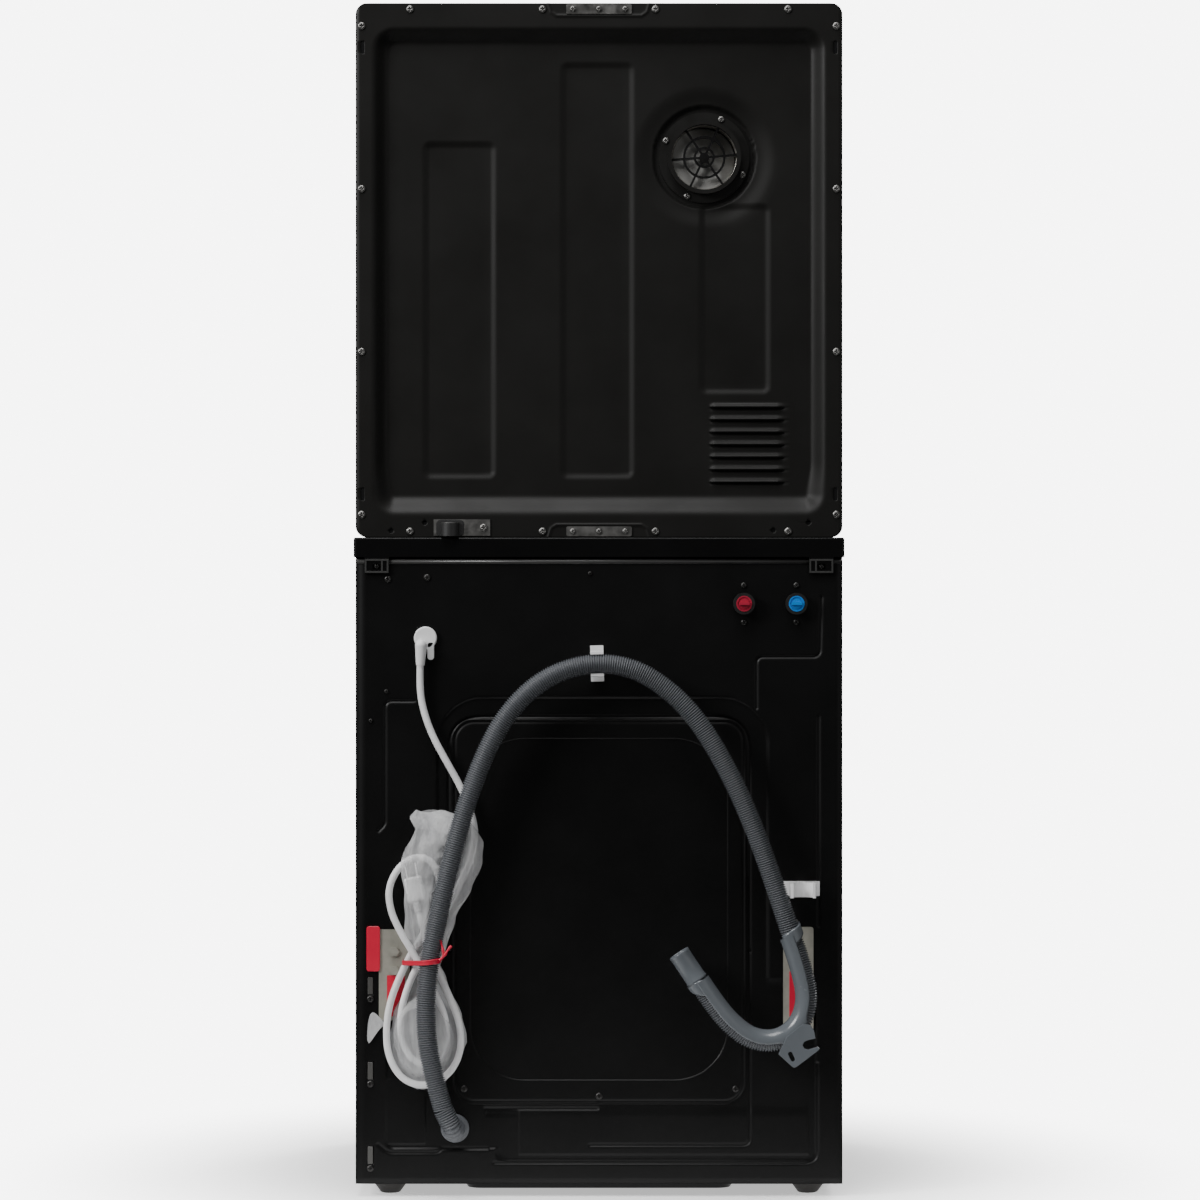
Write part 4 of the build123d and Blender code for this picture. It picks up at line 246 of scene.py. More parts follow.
# Screw heads' radii, and the ring of screws round the exhaust: radius, depth and first angle
DRYER_HEAD, STRAP_HEAD, GUARD_HEAD, WASHER_HEAD, PIN_HEAD = 4.6, 3.6, 4.0, 4.2, 2.6
GUARD_SCREWS, GUARD_SEAT, GUARD_TURN = 51.5, 240.5, 24
HEAD_RINGS = np.array([0.001, 0.14, 0.2, 0.3, 0.42, 0.5, 0.62, 0.75, 0.88, 0.96, 1.0, 1.0])
HEAD_RISE = 2.6

# Exhaust: the lining's closed (radius, depth) outline, and the bend behind the guard
DUCT_LINING = ((39.9, 214), (39.9, 240.0), (39.4, 240.0), (39.4, 214))
BEND_RADIUS, BEND_FACE, BEND_SHEET = 39.0, 237.5, 1.2
BEND_ACROSS = 55.0

# Feet in X and Y, and a foot's (radius, height)
FEET = (
    ("front_left_foot", -257, -215), ("front_right_foot", 257, -215),
    ("rear_left_foot", -257, 215), ("rear_right_foot", 257, 215),
)
FOOT = (
    (TIP, 0), (10.6, 0), (12.2, 0.7), (19.4, 10.6), (20.4, 12.6), (20.4, 14.2), (19.8, 15.2),
    (5.6, 15.5), (5.0, 16.2), (5.0, 45.4), (4.4, 46), (TIP, 46),
)

# Doors: closed (radius, depth) outlines; controls: dial heights and the panels' lower edges
DOOR_TRIM = (
    (190.4, -290.2), (188.6, -290.6), (181.6, -291.4), (180.6, -292.0), (181.0, -292.9), (183.0, -293.4),
    (186.0, -293.4), (189.2, -292.2),
)
GLASS_TRIM = (
    (152.6, -281.6), (150.4, -282.4), (150.2, -283.4), (152.0, -284.5), (155.0, -286.6), (156.0, -286.4),
    (155.6, -285.4),
)
LENS_BORDER = ((149.4, -282.5), (149.4, -282.06), (117.6, -282.06), (117.6, -282.3), (118.2, -282.5))
CONTROLS = (("washer", 736.0, 690.0), ("dryer", 1411.5, 1364.0))
BEZELS = ((0.0, 27.6), (240.0, 13.7))
BEZEL_HALF = 1.5
DIAL_MARKS = 20
MARK_START, MARK_SHORT, MARK_LONG, MARK_HALF = 34.5, 4.0, 6.5, 0.55
POINTER_FROM, POINTER_TO, POINTER_HALF = 10.2, 21.5, 0.8
KNOB_FACE = CONTROL_FACE - 19.7
DISPLAY_LEFT, DISPLAY_RIGHT, DISPLAY_HALF = 74, 198, 21
LAMP_PROFILE = ((1.7, 0.0), (1.7, -0.5), (1.3, -0.8), (TIP, -0.9))
LAMP_ROW = [82 + 18 * i for i in range(7)]
LAMP_DROP = 30

# Stage, in metres and watts: lamps are a name, a place, a size and a power
LAMPS = (
    ("key", (4.2, 2.9, 3.0), 1.8, 230), ("fill", (-3.4, 3.4, 1.2), 3.0, 14),
    ("top", (0.6, 1.6, 4.2), 2.0, 120), ("front_key", (-3.0, -3.6, 3.2), 2.0, 260),
    ("front_fill", (3.2, -3.0, 1.8), 2.2, 120),
)
LAMP_AIM = Vector((0, 0, 0.75))
WORLD_LEVEL = 0.1
BACKDROP_LEVEL = 7.0
FLOOR_HALF = 14.0
FLOOR_FADE = (0.31, 0.85)
SENSOR = 36.0
CAMERA_X = -0.0012
CAMERA_Z = 0.7295


def setting(label, words, value, **more):
    """A size property with its name, description and default."""
    return FloatProperty(name=label, description=words, default=value, **more)


class StackSizes(PropertyGroup):
    """Sizes that a user would change, in millimetres unless a unit says otherwise."""

    rib_pitch: setting("Hose rib pitch", "Distance from one hose rib to the next", 2.8)
    hose_radius: setting("Hose radius", "Outer radius over the ribs", 12.2)
    hose_root: setting("Hose root radius", "Radius between the ribs", 10.1)
    cord_radius: setting("Cord radius", "Radius of the mains cord", 4.3)
    dish_depth: setting("Dish depth", "Depth of the dryer's rear dish", 14.0)
    rib_depth: setting("Rib depth", "Depth of the dryer panel's ribs", 2.6)
    bead_height: setting("Bead depth", "Depth of the washer panel's pressed lines", 1.7)
    camera_distance: setting("Camera distance", "From the rear panels to the camera", 5.0, unit="LENGTH")
    frame_height: setting(
        "Frame height", "Height that the picture covers at the rear panels", 1.4664, unit="LENGTH"
    )
    drum_holes: IntProperty(name="Drum holes", description="Holes round the drum in one ring", default=96)


def colour(label, words, value):
    """A colour property with its name, description and default."""
    return FloatVectorProperty(
        name=label, description=words, subtype="COLOR", size=3, min=0, max=1, default=value
    )


class StackColours(PropertyGroup):
    """Base colours of the finishes, linear."""

    dryer_paint: colour("Dryer rear paint", "Satin paint of the dryer's rear panel", (0.0071, 0.0068, 0.0061))
    washer_paint: colour("Washer rear paint", "Satin paint of its rear panel", (0.0023, 0.0023, 0.0023))
    cabinet_paint: colour("Cabinet paint", "Gloss paint of the sides and fronts", (0.0075, 0.0075, 0.0078))
    hose_grey: colour("Hose", "Ribbed hose", (0.096, 0.102, 0.112))
    guide_grey: colour("Guide", "Smooth hose guide", (0.118, 0.131, 0.144))
    cord_white: colour("Cord", "Mains cord", (0.92, 0.92, 0.93))
    film: colour("Film", "Clear bag", (0.92, 0.93, 0.95))
    red: colour("Red", "Tie and transit plates", (0.68, 0.014, 0.05))
    blue: colour("Blue", "Cold cap", (0.008, 0.22, 0.66))
    zinc: colour("Zinc", "Plated steel inside and at the hinges", (0.5, 0.48, 0.44))


def sizes():
    """The size settings."""
    return bpy.context.scene.stack_sizes


def colours():
    """The colour settings."""
    return bpy.context.scene.stack_colours


# Numbers on whole arrays


def ease(t):
    """Zero below 0, one above 1, and 3t squared less 2t cubed between."""
    t = np.clip(t, 0.0, 1.0)
    return t * t * (3.0 - 2.0 * t)


def bell(away, width):
    """A bell curve: e to the power of minus the square of a distance over a width."""
    return np.exp(-((away / width) ** 2))


def circle(count):
    """Angles of one full turn."""
    return np.linspace(0, 2 * np.pi, count, endpoint=False)


def inside_box(x, z, x0, x1, z0, z1, corner):
    """Distance inside a rounded rectangle: positive within, negative outside."""
    qx = np.abs(x - (x0 + x1) / 2) - (x1 - x0) / 2 + corner
    qz = np.abs(z - (z0 + z1) / 2) - (z1 - z0) / 2 + corner
    outer = np.hypot(np.maximum(qx, 0), np.maximum(qz, 0))
    return corner - outer - np.minimum(np.maximum(qx, qz), 0)


def line_distance(x, z, points):
    """Least distance to a chain of straight lines, taken line by line over the whole array."""
    best = np.full(np.broadcast(x, z).shape, np.inf)
    for (ax, az), (bx, bz) in zip(points, points[1:]):
        dx, dz = bx - ax, bz - az
        share = np.clip(((x - ax) * dx + (z - az) * dz) / (dx * dx + dz * dz), 0, 1)
        best = np.minimum(best, np.hypot(x - ax - share * dx, z - az - share * dz))
    return best


def rounded(radius, line):
    """A line whose corners are quadratic curves that start and end a radius from each corner."""
    line = np.asarray(line, float)
    made = [line[:1]]
    t = np.linspace(0, 1, 9)[:, None]
    for before, corner, after in zip(line, line[1:], line[2:]):
        back, ahead = before - corner, after - corner
        cut = min(radius, 0.48 * np.linalg.norm(back), 0.48 * np.linalg.norm(ahead))
        start = corner + back / np.linalg.norm(back) * cut
        end = corner + ahead / np.linalg.norm(ahead) * cut
        made.append((1 - t) ** 2 * start + 2 * t * (1 - t) * corner + t**2 * end)
    return np.concatenate(made + [line[-1:]])


def near(values, before, after, step):
    """Marks for axis_steps from a distance before each value to a distance after it."""
    return [(value - before, value + after, step) for value in values]


def axis_steps(low, high, coarse, marks):
    """Grid lines from low to high, closer within each (start, end, step) mark, none crowding the last."""
    lines = [(high, 0.0)] + [(v, coarse) for v in np.arange(low + coarse, high - coarse / 2, coarse)]
    for start, end, step in marks:
        lines += [(v, step) for v in np.arange(max(start, low), min(end, high), step)]
    kept = [low]
    for value, step in sorted(lines):
        if value - kept[-1] > max(0.7 * step, 0.02):
            kept.append(value)
    return np.array(kept)


def quads(rows, columns, round_rows=False, round_columns=False):
    """Corner numbers of the faces of a grid, closed on itself along either way if asked."""
    r = np.arange(rows if round_rows else rows - 1)[:, None]
    c = np.arange(columns if round_columns else columns - 1)[None, :]
    first, second = r * columns, (r + 1) % rows * columns
    after = (c + 1) % columns
    corners = np.broadcast_arrays(first + c, first + after, second + after, second + c)
    return np.stack(corners, -1).reshape(-1, 4)


def tube(rings):
    """Rows of closed rings as (points, faces)."""
    return rings.reshape(-1, 3), quads(*rings.shape[:2], round_columns=True)


def join(parts):
    """Several (points, faces) pairs as one pair."""
    points, faces, count = [], [], 0
    for p, f in parts:
        points.append(p.reshape(-1, 3))
        faces.append(f + count)
        count += len(points[-1])
    return np.concatenate(points), np.concatenate(faces)


def copies(shape, places):
    """One (points, faces) pair repeated at each place."""
    points, faces = shape
    places = np.asarray(places, float)
    spread = (points[None, :, :] + places[:, None, :]).reshape(-1, 3)
    numbers = (faces[None] + (np.arange(len(places)) * len(points))[:, None, None]).reshape(-1, 4)
    return spread, numbers


def placed(name, data):
    """An object in the scene for a mesh, curve, lamp or camera."""
    thing = bpy.data.objects.new(name, data)
    bpy.context.scene.collection.objects.link(thing)
    return thing


def piece(name, shape, finish, body=CABINETS, stands_for=(), smooth=True, flip=False):
    """A mesh object from millimetre points and their faces, riding on a body."""
    points, faces = shape
    faces = [list(face) for face in (np.asarray(faces)[:, ::-1] if flip else faces)]
    mesh = bpy.data.meshes.new(name)
    mesh.from_pydata((np.asarray(points, float).reshape(-1, 3) * MM).tolist(), [], faces)
    mesh.validate()
    mesh.polygons.foreach_set("use_smooth", np.full(len(mesh.polygons), smooth))
    mesh.materials.append(FINISHES[finish])
    mesh.update()
    thing = placed(name, mesh)
    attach(thing, body)
    if stands_for:
        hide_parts(*stands_for)
    return thing


def turned(profile, sides, centre, axis=(0, 1, 0)):
    """A profile of (radius, distance along) carried round an axis through a centre point."""
    profile = np.asarray(profile, float)
    way = np.asarray(axis, float) / np.linalg.norm(axis)
    across = np.cross(way, (0, 0, 1) if abs(way[2]) < 0.9 else (1, 0, 0))
    across /= np.linalg.norm(across)
    turn = circle(sides)[None, :, None]
    ring = across * np.cos(turn) + np.cross(way, across) * np.sin(turn)
    radius, reach = profile.T[:, :, None, None]
    return tube(np.asarray(centre, float) + radius * ring + reach * way)


def ring_band(profile, centre, sides=128):
    """A closed profile of (radius, depth) carried round a front-to-back axis."""
    return turned(profile, sides, centre)[0], quads(len(profile), sides, True, True)


def plate_block(x0, x1, z0, z1, y0, y1, corner):
    """A rounded plate: its outline carried through small bevels from back to front."""
    turn = circle(40)
    cos, sin, none = np.cos(turn), np.sin(turn), np.zeros(40)
    middle = np.array([(x0 + x1) / 2, 0.0, (z0 + z1) / 2])
    reach = np.column_stack([
        np.sign(cos) * ((x1 - x0) / 2 - corner), none, np.sign(sin) * ((z1 - z0) / 2 - corner)
    ])
    ways = np.column_stack([cos, none, sin])
    bevel = min(0.4, (y1 - y0) / 3)
    rows = [
        middle + (0, y, 0) + share * (reach + (corner - inset) * ways)
        for share, inset, y in ((0, 0, y0), (1, 0, y0), (1, 0, y1 - bevel), (1, bevel, y1), (0, 0, y1))
    ]
    return tube(np.stack(rows))


def rear_block(x0, x1, z0, z1, low, high, corner):
    """A rounded plate between two distances off the rear plane."""
    return plate_block(x0, x1, z0, z1, REAR + low, REAR + high, corner)


def raised(x0, x1, z0, z1, y, rise, corner):
    """A rounded plate that stands off the front at depth y by a rise."""
    points, faces = plate_block(x0, x1, z0, z1, -y, -y + rise, corner)
    return points * (1.0, -1.0, 1.0), faces[:, ::-1]


# Curves


def curve_mesh(curve):
    """The mesh that Blender makes of a curve."""
    helper = placed(curve.name, curve)
    bpy.context.view_layer.update()
    mesh = bpy.data.meshes.new_from_object(helper)
    bpy.data.objects.remove(helper)
    return mesh


def mesh_points(mesh):
    """A mesh's points in millimetres."""
    flat = np.empty(len(mesh.vertices) * 3)
    mesh.vertices.foreach_get("co", flat)
    return flat.reshape(-1, 3) / MM


def flat_plate(outlines, y, half, bevel):
    """A bevelled plate at depth y from closed outlines in X and Z, the first its edge and the rest holes."""
    curve = bpy.data.curves.new("outline", "CURVE")
    curve.dimensions = "2D"
    curve.fill_mode = "BOTH"
    curve.extrude = (half - bevel) * MM
    curve.bevel_depth = bevel * MM
    curve.bevel_resolution = 1
    curve.offset = -bevel * MM
    for outline in outlines:
        spline = curve.splines.new("POLY")
        spline.points.add(len(outline) - 1)
        count = len(outline)
        values = np.column_stack([np.asarray(outline, float) * MM, np.zeros(count), np.ones(count)])
        spline.points.foreach_set("co", values.ravel())
        spline.use_cyclic_u = True
    mesh = curve_mesh(curve)
    bm = bmesh.new()
    bm.from_mesh(mesh)
    bmesh.ops.remove_doubles(bm, verts=bm.verts, dist=1e-6)
    bmesh.ops.recalc_face_normals(bm, faces=bm.faces)
    bm.to_mesh(mesh)
    bm.free()
    x, z, depth = mesh_points(mesh).T
    faces = [list(face.vertices)[::-1] for face in mesh.polygons]
    bpy.data.meshes.remove(mesh)
    return np.column_stack([x, y + depth, z]), faces


def spline_curve(name, points, steps):
    """A curve with one open spline whose control points are given in millimetres."""
    curve = bpy.data.curves.new(name, "CURVE")
    curve.dimensions = "3D"
    spline = curve.splines.new("NURBS")
    spline.points.add(len(points) - 1)
    values = np.ones((len(points), 4))
    values[:, :3] = np.asarray(points, float) * MM
    spline.points.foreach_set("co", values.ravel())
    spline.order_u = 3
    spline.use_endpoint_u = True
    spline.resolution_u = steps
    return curve


def smooth_line(points):
    """The points of a smooth spline through control points, in millimetres, read back from its curve."""
    mesh = curve_mesh(spline_curve("line", points, 16))
    line = mesh_points(mesh)
    bpy.data.meshes.remove(mesh)
    return line


def lengths(line):
    """Distance along a line at each of its points."""
    return np.concatenate([[0.0], np.cumsum(np.linalg.norm(np.diff(line, axis=0), axis=1))])


def along(line, distances):
    """Points and unit directions at distances along a line."""
    measure = lengths(line)
    slope = np.gradient(line, measure, axis=0)
    points, ways = (
        np.stack([np.interp(distances, measure, column) for column in rows.T], -1) for rows in (line, slope)
    )
    return points, ways / np.linalg.norm(ways, axis=1, keepdims=True)


def pipe(line, stations, radii, sides):
    """A circle of changing radius along a line; angle 0 is the left of the way, a quarter turn the rear."""
    points, ways = along(line, stations)
    side = np.cross(ways, (0.0, 1.0, 0.0))
    flat = np.linalg.norm(side, axis=1, keepdims=True)
    side = np.where(flat > 1e-3, side / np.maximum(flat, 1e-9), (1.0, 0.0, 0.0))
    up = np.cross(side, ways)
    turn = circle(sides)[None, :, None]
    ring = side[:, None, :] * np.cos(turn) + up[:, None, :] * np.sin(turn)
    return tube(points[:, None, :] + np.asarray(radii, float)[:, None, None] * ring)


# Finishes


class Finish:
    """A material whose nodes are added one call at a time."""

    def __init__(self, name, base, roughness, metallic=0.0, **sockets):
        self.material = bpy.data.materials.new(name)
        self.material.use_nodes = True
        self.tree = self.material.node_tree
        self.shader = self.tree.nodes["Principled BSDF"]
        self.shader.inputs["Base Color"].default_value = (*base[:3], 1.0)
        self.shader.inputs["Roughness"].default_value = roughness
        self.shader.inputs["Metallic"].default_value = metallic
        for socket, value in sockets.items():
            self.shader.inputs[socket.replace("_", " ")].default_value = value
        self.place = self.tree.nodes.new("ShaderNodeTexCoord").outputs["Object"]
        self.base = base[:3]
        self.roughness = roughness

    def node(self, kind, **values):
        """A node with its settings, and its inputs by name."""
        made = self.tree.nodes.new("ShaderNode" + kind)
        for key, value in values.items():
            if key in made.inputs:
                made.inputs[key].default_value = value
            else:
                setattr(made, key, value)
        return made

    def link(self, source, target):
        """A wire between two sockets."""
        self.tree.links.new(source, target)

    def math(self, operation, *values, kind="Math"):
        """The result of an operation on sockets and plain values."""
        made = self.node(kind, operation=operation)
        for socket, value in zip(made.inputs, values):
            if isinstance(value, NodeSocket):
                self.link(value, socket)
            else:
                socket.default_value = value
        return made.outputs["Value" if operation == "LENGTH" else 0]

    def noise(self, scale, detail=3.0, roughness=0.55, stretch=None):
        """Noise in object space, stretched along an axis if asked."""
        made = self.node("TexNoise", Scale=scale, Detail=detail, Roughness=roughness)
        place = self.place
        if stretch:
            mapping = self.node("Mapping", Scale=stretch)
            self.link(place, mapping.inputs["Vector"])
            place = mapping.outputs["Vector"]
        self.link(place, made.inputs["Vector"])
        return made.outputs["Fac"]

    def carried(self, source, start, end, low=0.0, high=1.0, way="LINEAR"):
        """A value carried from one range onto another."""
        made = self.node("MapRange", interpolation_type=way, **{
            "From Min": start, "From Max": end, "To Min": low, "To Max": high,
        })
        self.link(source, made.inputs["Value"])
        return made.outputs["Result"]

    def blend(self, source, low, high, start=0.0, end=1.0):
        """Base colour that goes from one colour to another as a value rises."""
        ramp = self.node("ValToRGB")
        stops = ramp.color_ramp.elements
        stops[0].position, stops[1].position = start, end
        stops[0].color, stops[1].color = (*low, 1), (*high, 1)
        self.link(source, ramp.inputs["Fac"])
        self.link(ramp.outputs["Color"], self.shader.inputs["Base Color"])
        return self

    def tint(self, source, share):
        """Base colour that drifts lighter and darker by a share."""
        low = [c * (1 - share) for c in self.base]
        high = [min(1, c * (1 + share)) for c in self.base]
        return self.blend(source, low, high, 0.3, 0.7)

    def polish(self, source, share):
        """Roughness that drifts by a share."""
        drift = self.carried(source, 0.3, 0.7, self.roughness * (1 - share), self.roughness * (1 + share))
        self.link(drift, self.shader.inputs["Roughness"])
        return self

    def bump(self, source, strength, distance):
        """A fine relief."""
        made = self.node("Bump", Strength=strength, Distance=distance)
        self.link(source, made.inputs["Height"])
        self.link(made.outputs["Normal"], self.shader.inputs["Normal"])
        return self


def painted(name, base, roughness=0.42, gloss=0.3):
    """Sprayed paint: fine orange peel, a slow drift in gloss and faint dust."""
    made = Finish(name, base, roughness, 0.0, Specular_IOR_Level=gloss)
    made.tint(made.noise(14.0, 5.0), 0.1).polish(made.noise(9.0, 4.0), 0.12)
    return made.bump(made.noise(900.0, 2.0), 0.05, 0.0004).material


def moulded(name, base, roughness=0.4, grain=1500.0, strength=0.12):
    """Moulded plastic: an even spark grain and a slight drift in gloss."""
    made = Finish(name, base, roughness)
    made.tint(made.noise(25.0, 4.0), 0.06).polish(made.noise(40.0, 3.0), 0.15)
    return made.bump(made.noise(grain, 2.0), strength, 0.0003).material


def plated(name, base, roughness=0.33, metallic=1.0, clouds=120.0, share=0.18, strength=0.08):
    """Plated steel: a cloudy spangle and fine rolling lines."""
    made = Finish(name, base, roughness, metallic)
    made.tint(made.noise(clouds, 4.0), share).polish(made.noise(60.0, 3.0), 0.3)
    return made.bump(made.noise(500.0, 2.0, 0.5, (1.0, 1.0, 0.08)), strength, 0.0003).material


def two_tone(name, inner, outer, radius):
    """A moulding with one colour near the exhaust's axis and another beyond a radius in metres."""
    made = Finish(name, inner, 0.4, 0.0, Specular_IOR_Level=0.35)
    axis = (EXHAUST[0] * MM, 0.0, EXHAUST[1] * MM)
    shift = made.math("SUBTRACT", made.place, axis, kind="VectorMath")
    flat = made.math("MULTIPLY", shift, (1.0, 0.0, 1.0), kind="VectorMath")
    away = made.math("LENGTH", flat, kind="VectorMath")
    made.blend(made.carried(away, radius - 0.0005, radius + 0.0005), inner, outer)
    made.polish(made.noise(40.0, 3.0), 0.15)
    return made.bump(made.noise(1500.0, 2.0), 0.1, 0.0003).material


def brushed(name, base, stretch=(0.04, 1.0, 1.0)):
    """Brushed steel: scratches drawn out along one way."""
    made = Finish(name, base, 0.28, 1.0)
    lines = made.noise(900.0, 4.0, 0.6, stretch)
    made.tint(lines, 0.08).polish(lines, 0.35)
    return made.bump(lines, 0.06, 0.0002).material


def perforated(name, base, height, row_gap=0.03):
    """A drum wall: staggered round holes from the angle round the drum's axis and the depth, in metres."""
    made = Finish(name, base, 0.26, 1.0)
    parts = made.node("SeparateXYZ")
    made.link(made.place, parts.inputs["Vector"])
    lift = made.math("SUBTRACT", parts.outputs["Z"], height * MM)
    angle = made.math("ARCTAN2", lift, parts.outputs["X"])
    waves = [
        made.math("COSINE", made.math("MULTIPLY", source, rate))
        for source, rate in ((angle, sizes().drum_holes), (parts.outputs["Y"], 2 * np.pi / row_gap))
    ]
    hole = made.carried(made.math("MULTIPLY", *waves), 0.72, 0.8)
    made.blend(hole, base, (0.01, 0.01, 0.01)).bump(hole, -0.5, 0.002)
    return made.polish(made.noise(500.0, 3.0, 0.6, (1, 0.05, 1)), 0.3).material


def rubbery(name, base, roughness=0.62):
    """Rubber: matt, with a soft bloom."""
    made = Finish(name, base, roughness)
    made.tint(made.noise(30.0, 5.0), 0.12).polish(made.noise(60.0, 3.0), 0.12)
    return made.bump(made.noise(1200.0, 2.0), 0.1, 0.0003).material


def glassy(name, base):
    """Tinted door glass, mostly see-through, with faint moulding waves."""
    made = Finish(name, base, 0.04, 0.0, Alpha=0.24, Specular_IOR_Level=0.9)
    return made.bump(made.noise(18.0, 2.0), 0.02, 0.002).material


def filmy(name, base):
    """Thin clear film: cloudy, creased and partly see-through."""
    made = Finish(name, base, 0.26, 0.0, Alpha=0.42)
    folds = made.noise(60.0, 6.0, 0.62, (1.0, 1.0, 0.28))
    made.tint(folds, 0.3).polish(folds, 0.45)
    return made.bump(folds, 0.8, 0.006).material


def stony(name, base):
    """Cast ballast: coarse speckle and pits."""
    made = Finish(name, base, 0.85)
    made.tint(made.noise(160.0, 6.0), 0.3)
    return made.bump(made.noise(300.0, 5.0), 0.4, 0.001).material


FINISHES = {}
STEEL = (0.62, 0.62, 0.61)


def grey(value):
    """An even grey."""
    return (value, value, value)


def make_finishes():
    """Every finish of the stack by name."""
    c = colours()
    FINISHES.update(
        dryer_rear=painted("dryer_rear_paint", c.dryer_paint, 0.5, 0.22),
        washer_rear=painted("washer_rear_paint", c.washer_paint, 0.42, 0.22),
        cabinet=painted("cabinet_paint", c.cabinet_paint, 0.22),
        worktop=painted("worktop_board", (0.0024, 0.0024, 0.0025), 0.36, 0.16),
        gloss=moulded("gloss_moulding", (0.008, 0.008, 0.0085), 0.14, 700.0, 0.03),
        matt=moulded("matt_moulding", grey(0.016), 0.5),
        valve=moulded("valve_moulding", grey(0.006), 0.5),
        guard=two_tone("guard_moulding", grey(0.002), c.dryer_paint, 0.0396),
        zinc=plated("zinc_plate", c.zinc),
        passivated=plated("passivated_plate", (0.4, 0.39, 0.335), 0.42, 0.3, 90.0, 0.1, 0.06),
        dark_screw=plated("dark_screw_steel", (0.052, 0.051, 0.05), 0.46),
        cap_red=moulded("cap_red", (0.4, 0.016, 0.044), 0.32, 900.0, 0.06),
        foot=rubbery("foot_rubber", (0.03, 0.028, 0.026)),
        screw=plated("screw_steel", (0.19, 0.187, 0.18), 0.42),
        strip=plated("strap_steel", (0.22, 0.216, 0.208), 0.42),
        steel=brushed("brushed_steel", STEEL),
        alloy=plated("cast_alloy", grey(0.6), 0.45),
        washer_drum=perforated("washer_drum_wall", STEEL, WASHER_AXIS),
        dryer_drum=brushed("dryer_drum_wall", STEEL, (1.0, 0.04, 1.0)),
        glass=glassy("door_glass", (0.02, 0.022, 0.025)),
        grey_rubber=rubbery("gasket_rubber", grey(0.2)),
        black_rubber=rubbery("black_rubber", grey(0.012)),
        hose=moulded("hose_plastic", c.hose_grey, 0.42, 1200.0, 0.08),
        guide=moulded("guide_plastic", c.guide_grey, 0.24, 900.0, 0.05),
        white=moulded("white_moulding", grey(0.9), 0.35, 1200.0, 0.05),
        cord=rubbery("cord_sheath", c.cord_white, 0.42),
        film=filmy("bag_film", c.film),
        tub=moulded("tub_resin", (0.3, 0.31, 0.32), 0.55),
        red=moulded("red_moulding", c.red, 0.34, 900.0, 0.06),
        blue=moulded("blue_moulding", c.blue, 0.3, 900.0, 0.06),
        stone=stony("ballast", (0.36, 0.36, 0.34)),
        # A lighter grey than the black panels, on the lug frames and the top lip; on the top lip it is a
        # painted highlight of the edge catching light from above
        edge=painted("edge_grey_and_painted_highlight", (0.04, 0.04, 0.039), 0.32, 0.5),
        # The bend behind the guard is coloured much lighter than its grey: painted light standing in for
        # light falling into the duct that the lamps don't bring
        duct=moulded("duct_painted_light", (0.34, 0.336, 0.32), 0.5),
        tab=painted("tab_paint", (0.075, 0.074, 0.07), 0.4, 0.4),
        print=moulded("printed_marks", (0.6, 0.6, 0.61), 0.45, 900.0, 0.04),
        lens=moulded("display_lens", (0.004, 0.004, 0.0045), 0.07, 300.0, 0.01),
    )


# Finishes of the solids that stay in view
FINISH_NODES = {
    "cabinet": "washer_base washer_side_panels washer_front_panel filter_flap dryer_base dryer_cabinet"
    " dryer_front_panel",
    "gloss": "washer_control_panel washer_door_frame detergent_drawer washer_knob washer_start_button"
    " dryer_control_panel dryer_door_frame dryer_knob dryer_start_button",
    "zinc": "tub_suspension drive_motors door_hinges washer_motor_pulley rear_bulkhead heater"
    " dryer_motor_shaft",
    "tub": "washer_tub drain_pump pump_filter lint_filter",
    "white": "hose_clips cord_gland power_plug",
    "glass": "washer_door_glass dryer_door_glass",
    "alloy": "drum_shaft drum_pulley",
    "worktop": "washer_worktop",
    "valve": "inlet_valves",
    "cap_red": "hot_inlet_cap",
    "blue": "cold_inlet_cap",
    "grey_rubber": "door_gasket",
    "black_rubber": "drive_belts",
    "stone": "counterweights",
    "passivated": "transit_brackets",
    "washer_drum": "washer_drum",
    "dryer_drum": "dryer_drum",
    "guard": "exhaust_outlet",
    "strip": "rear_brackets",
    "matt": "blower_wheel",
}


# Rear skins


def skin(name, xs, zs, depth, finish, corner, stands_for, thickness=1.0):
    """A sheet with a depth behind the rear plane for each X and Z, rounded corners and a turned-in edge."""
    x, z = np.meshgrid(xs, zs)
    cx = np.clip(x, xs[0] + corner, xs[-1] - corner)
    cz = np.clip(z, zs[0] + corner, zs[-1] - corner)
    away = np.hypot(x - cx, z - cz)
    pull = np.where(away > corner, corner / np.maximum(away, 1e-9), 1.0)
    x, z = cx + (x - cx) * pull, cz + (z - cz) * pull
    points = np.pad(np.stack([x, REAR - depth(x, z), z], -1), ((1, 1), (1, 1), (0, 0)), "edge")
    points[[0, -1], :, 1] -= thickness
    points[1:-1, [0, -1], 1] -= thickness
    shape = points, quads(*points.shape[:2])
    return piece(name, shape, finish, stands_for=[stands_for], flip=True)


def pressed(x, z, steps):
    """Depths of pressed boxes added up, each an eased step of the distance inside its box over a slope."""
    return sum(depth * ease(inside_box(x, z, *box) / slope) for depth, slope, *box in steps)


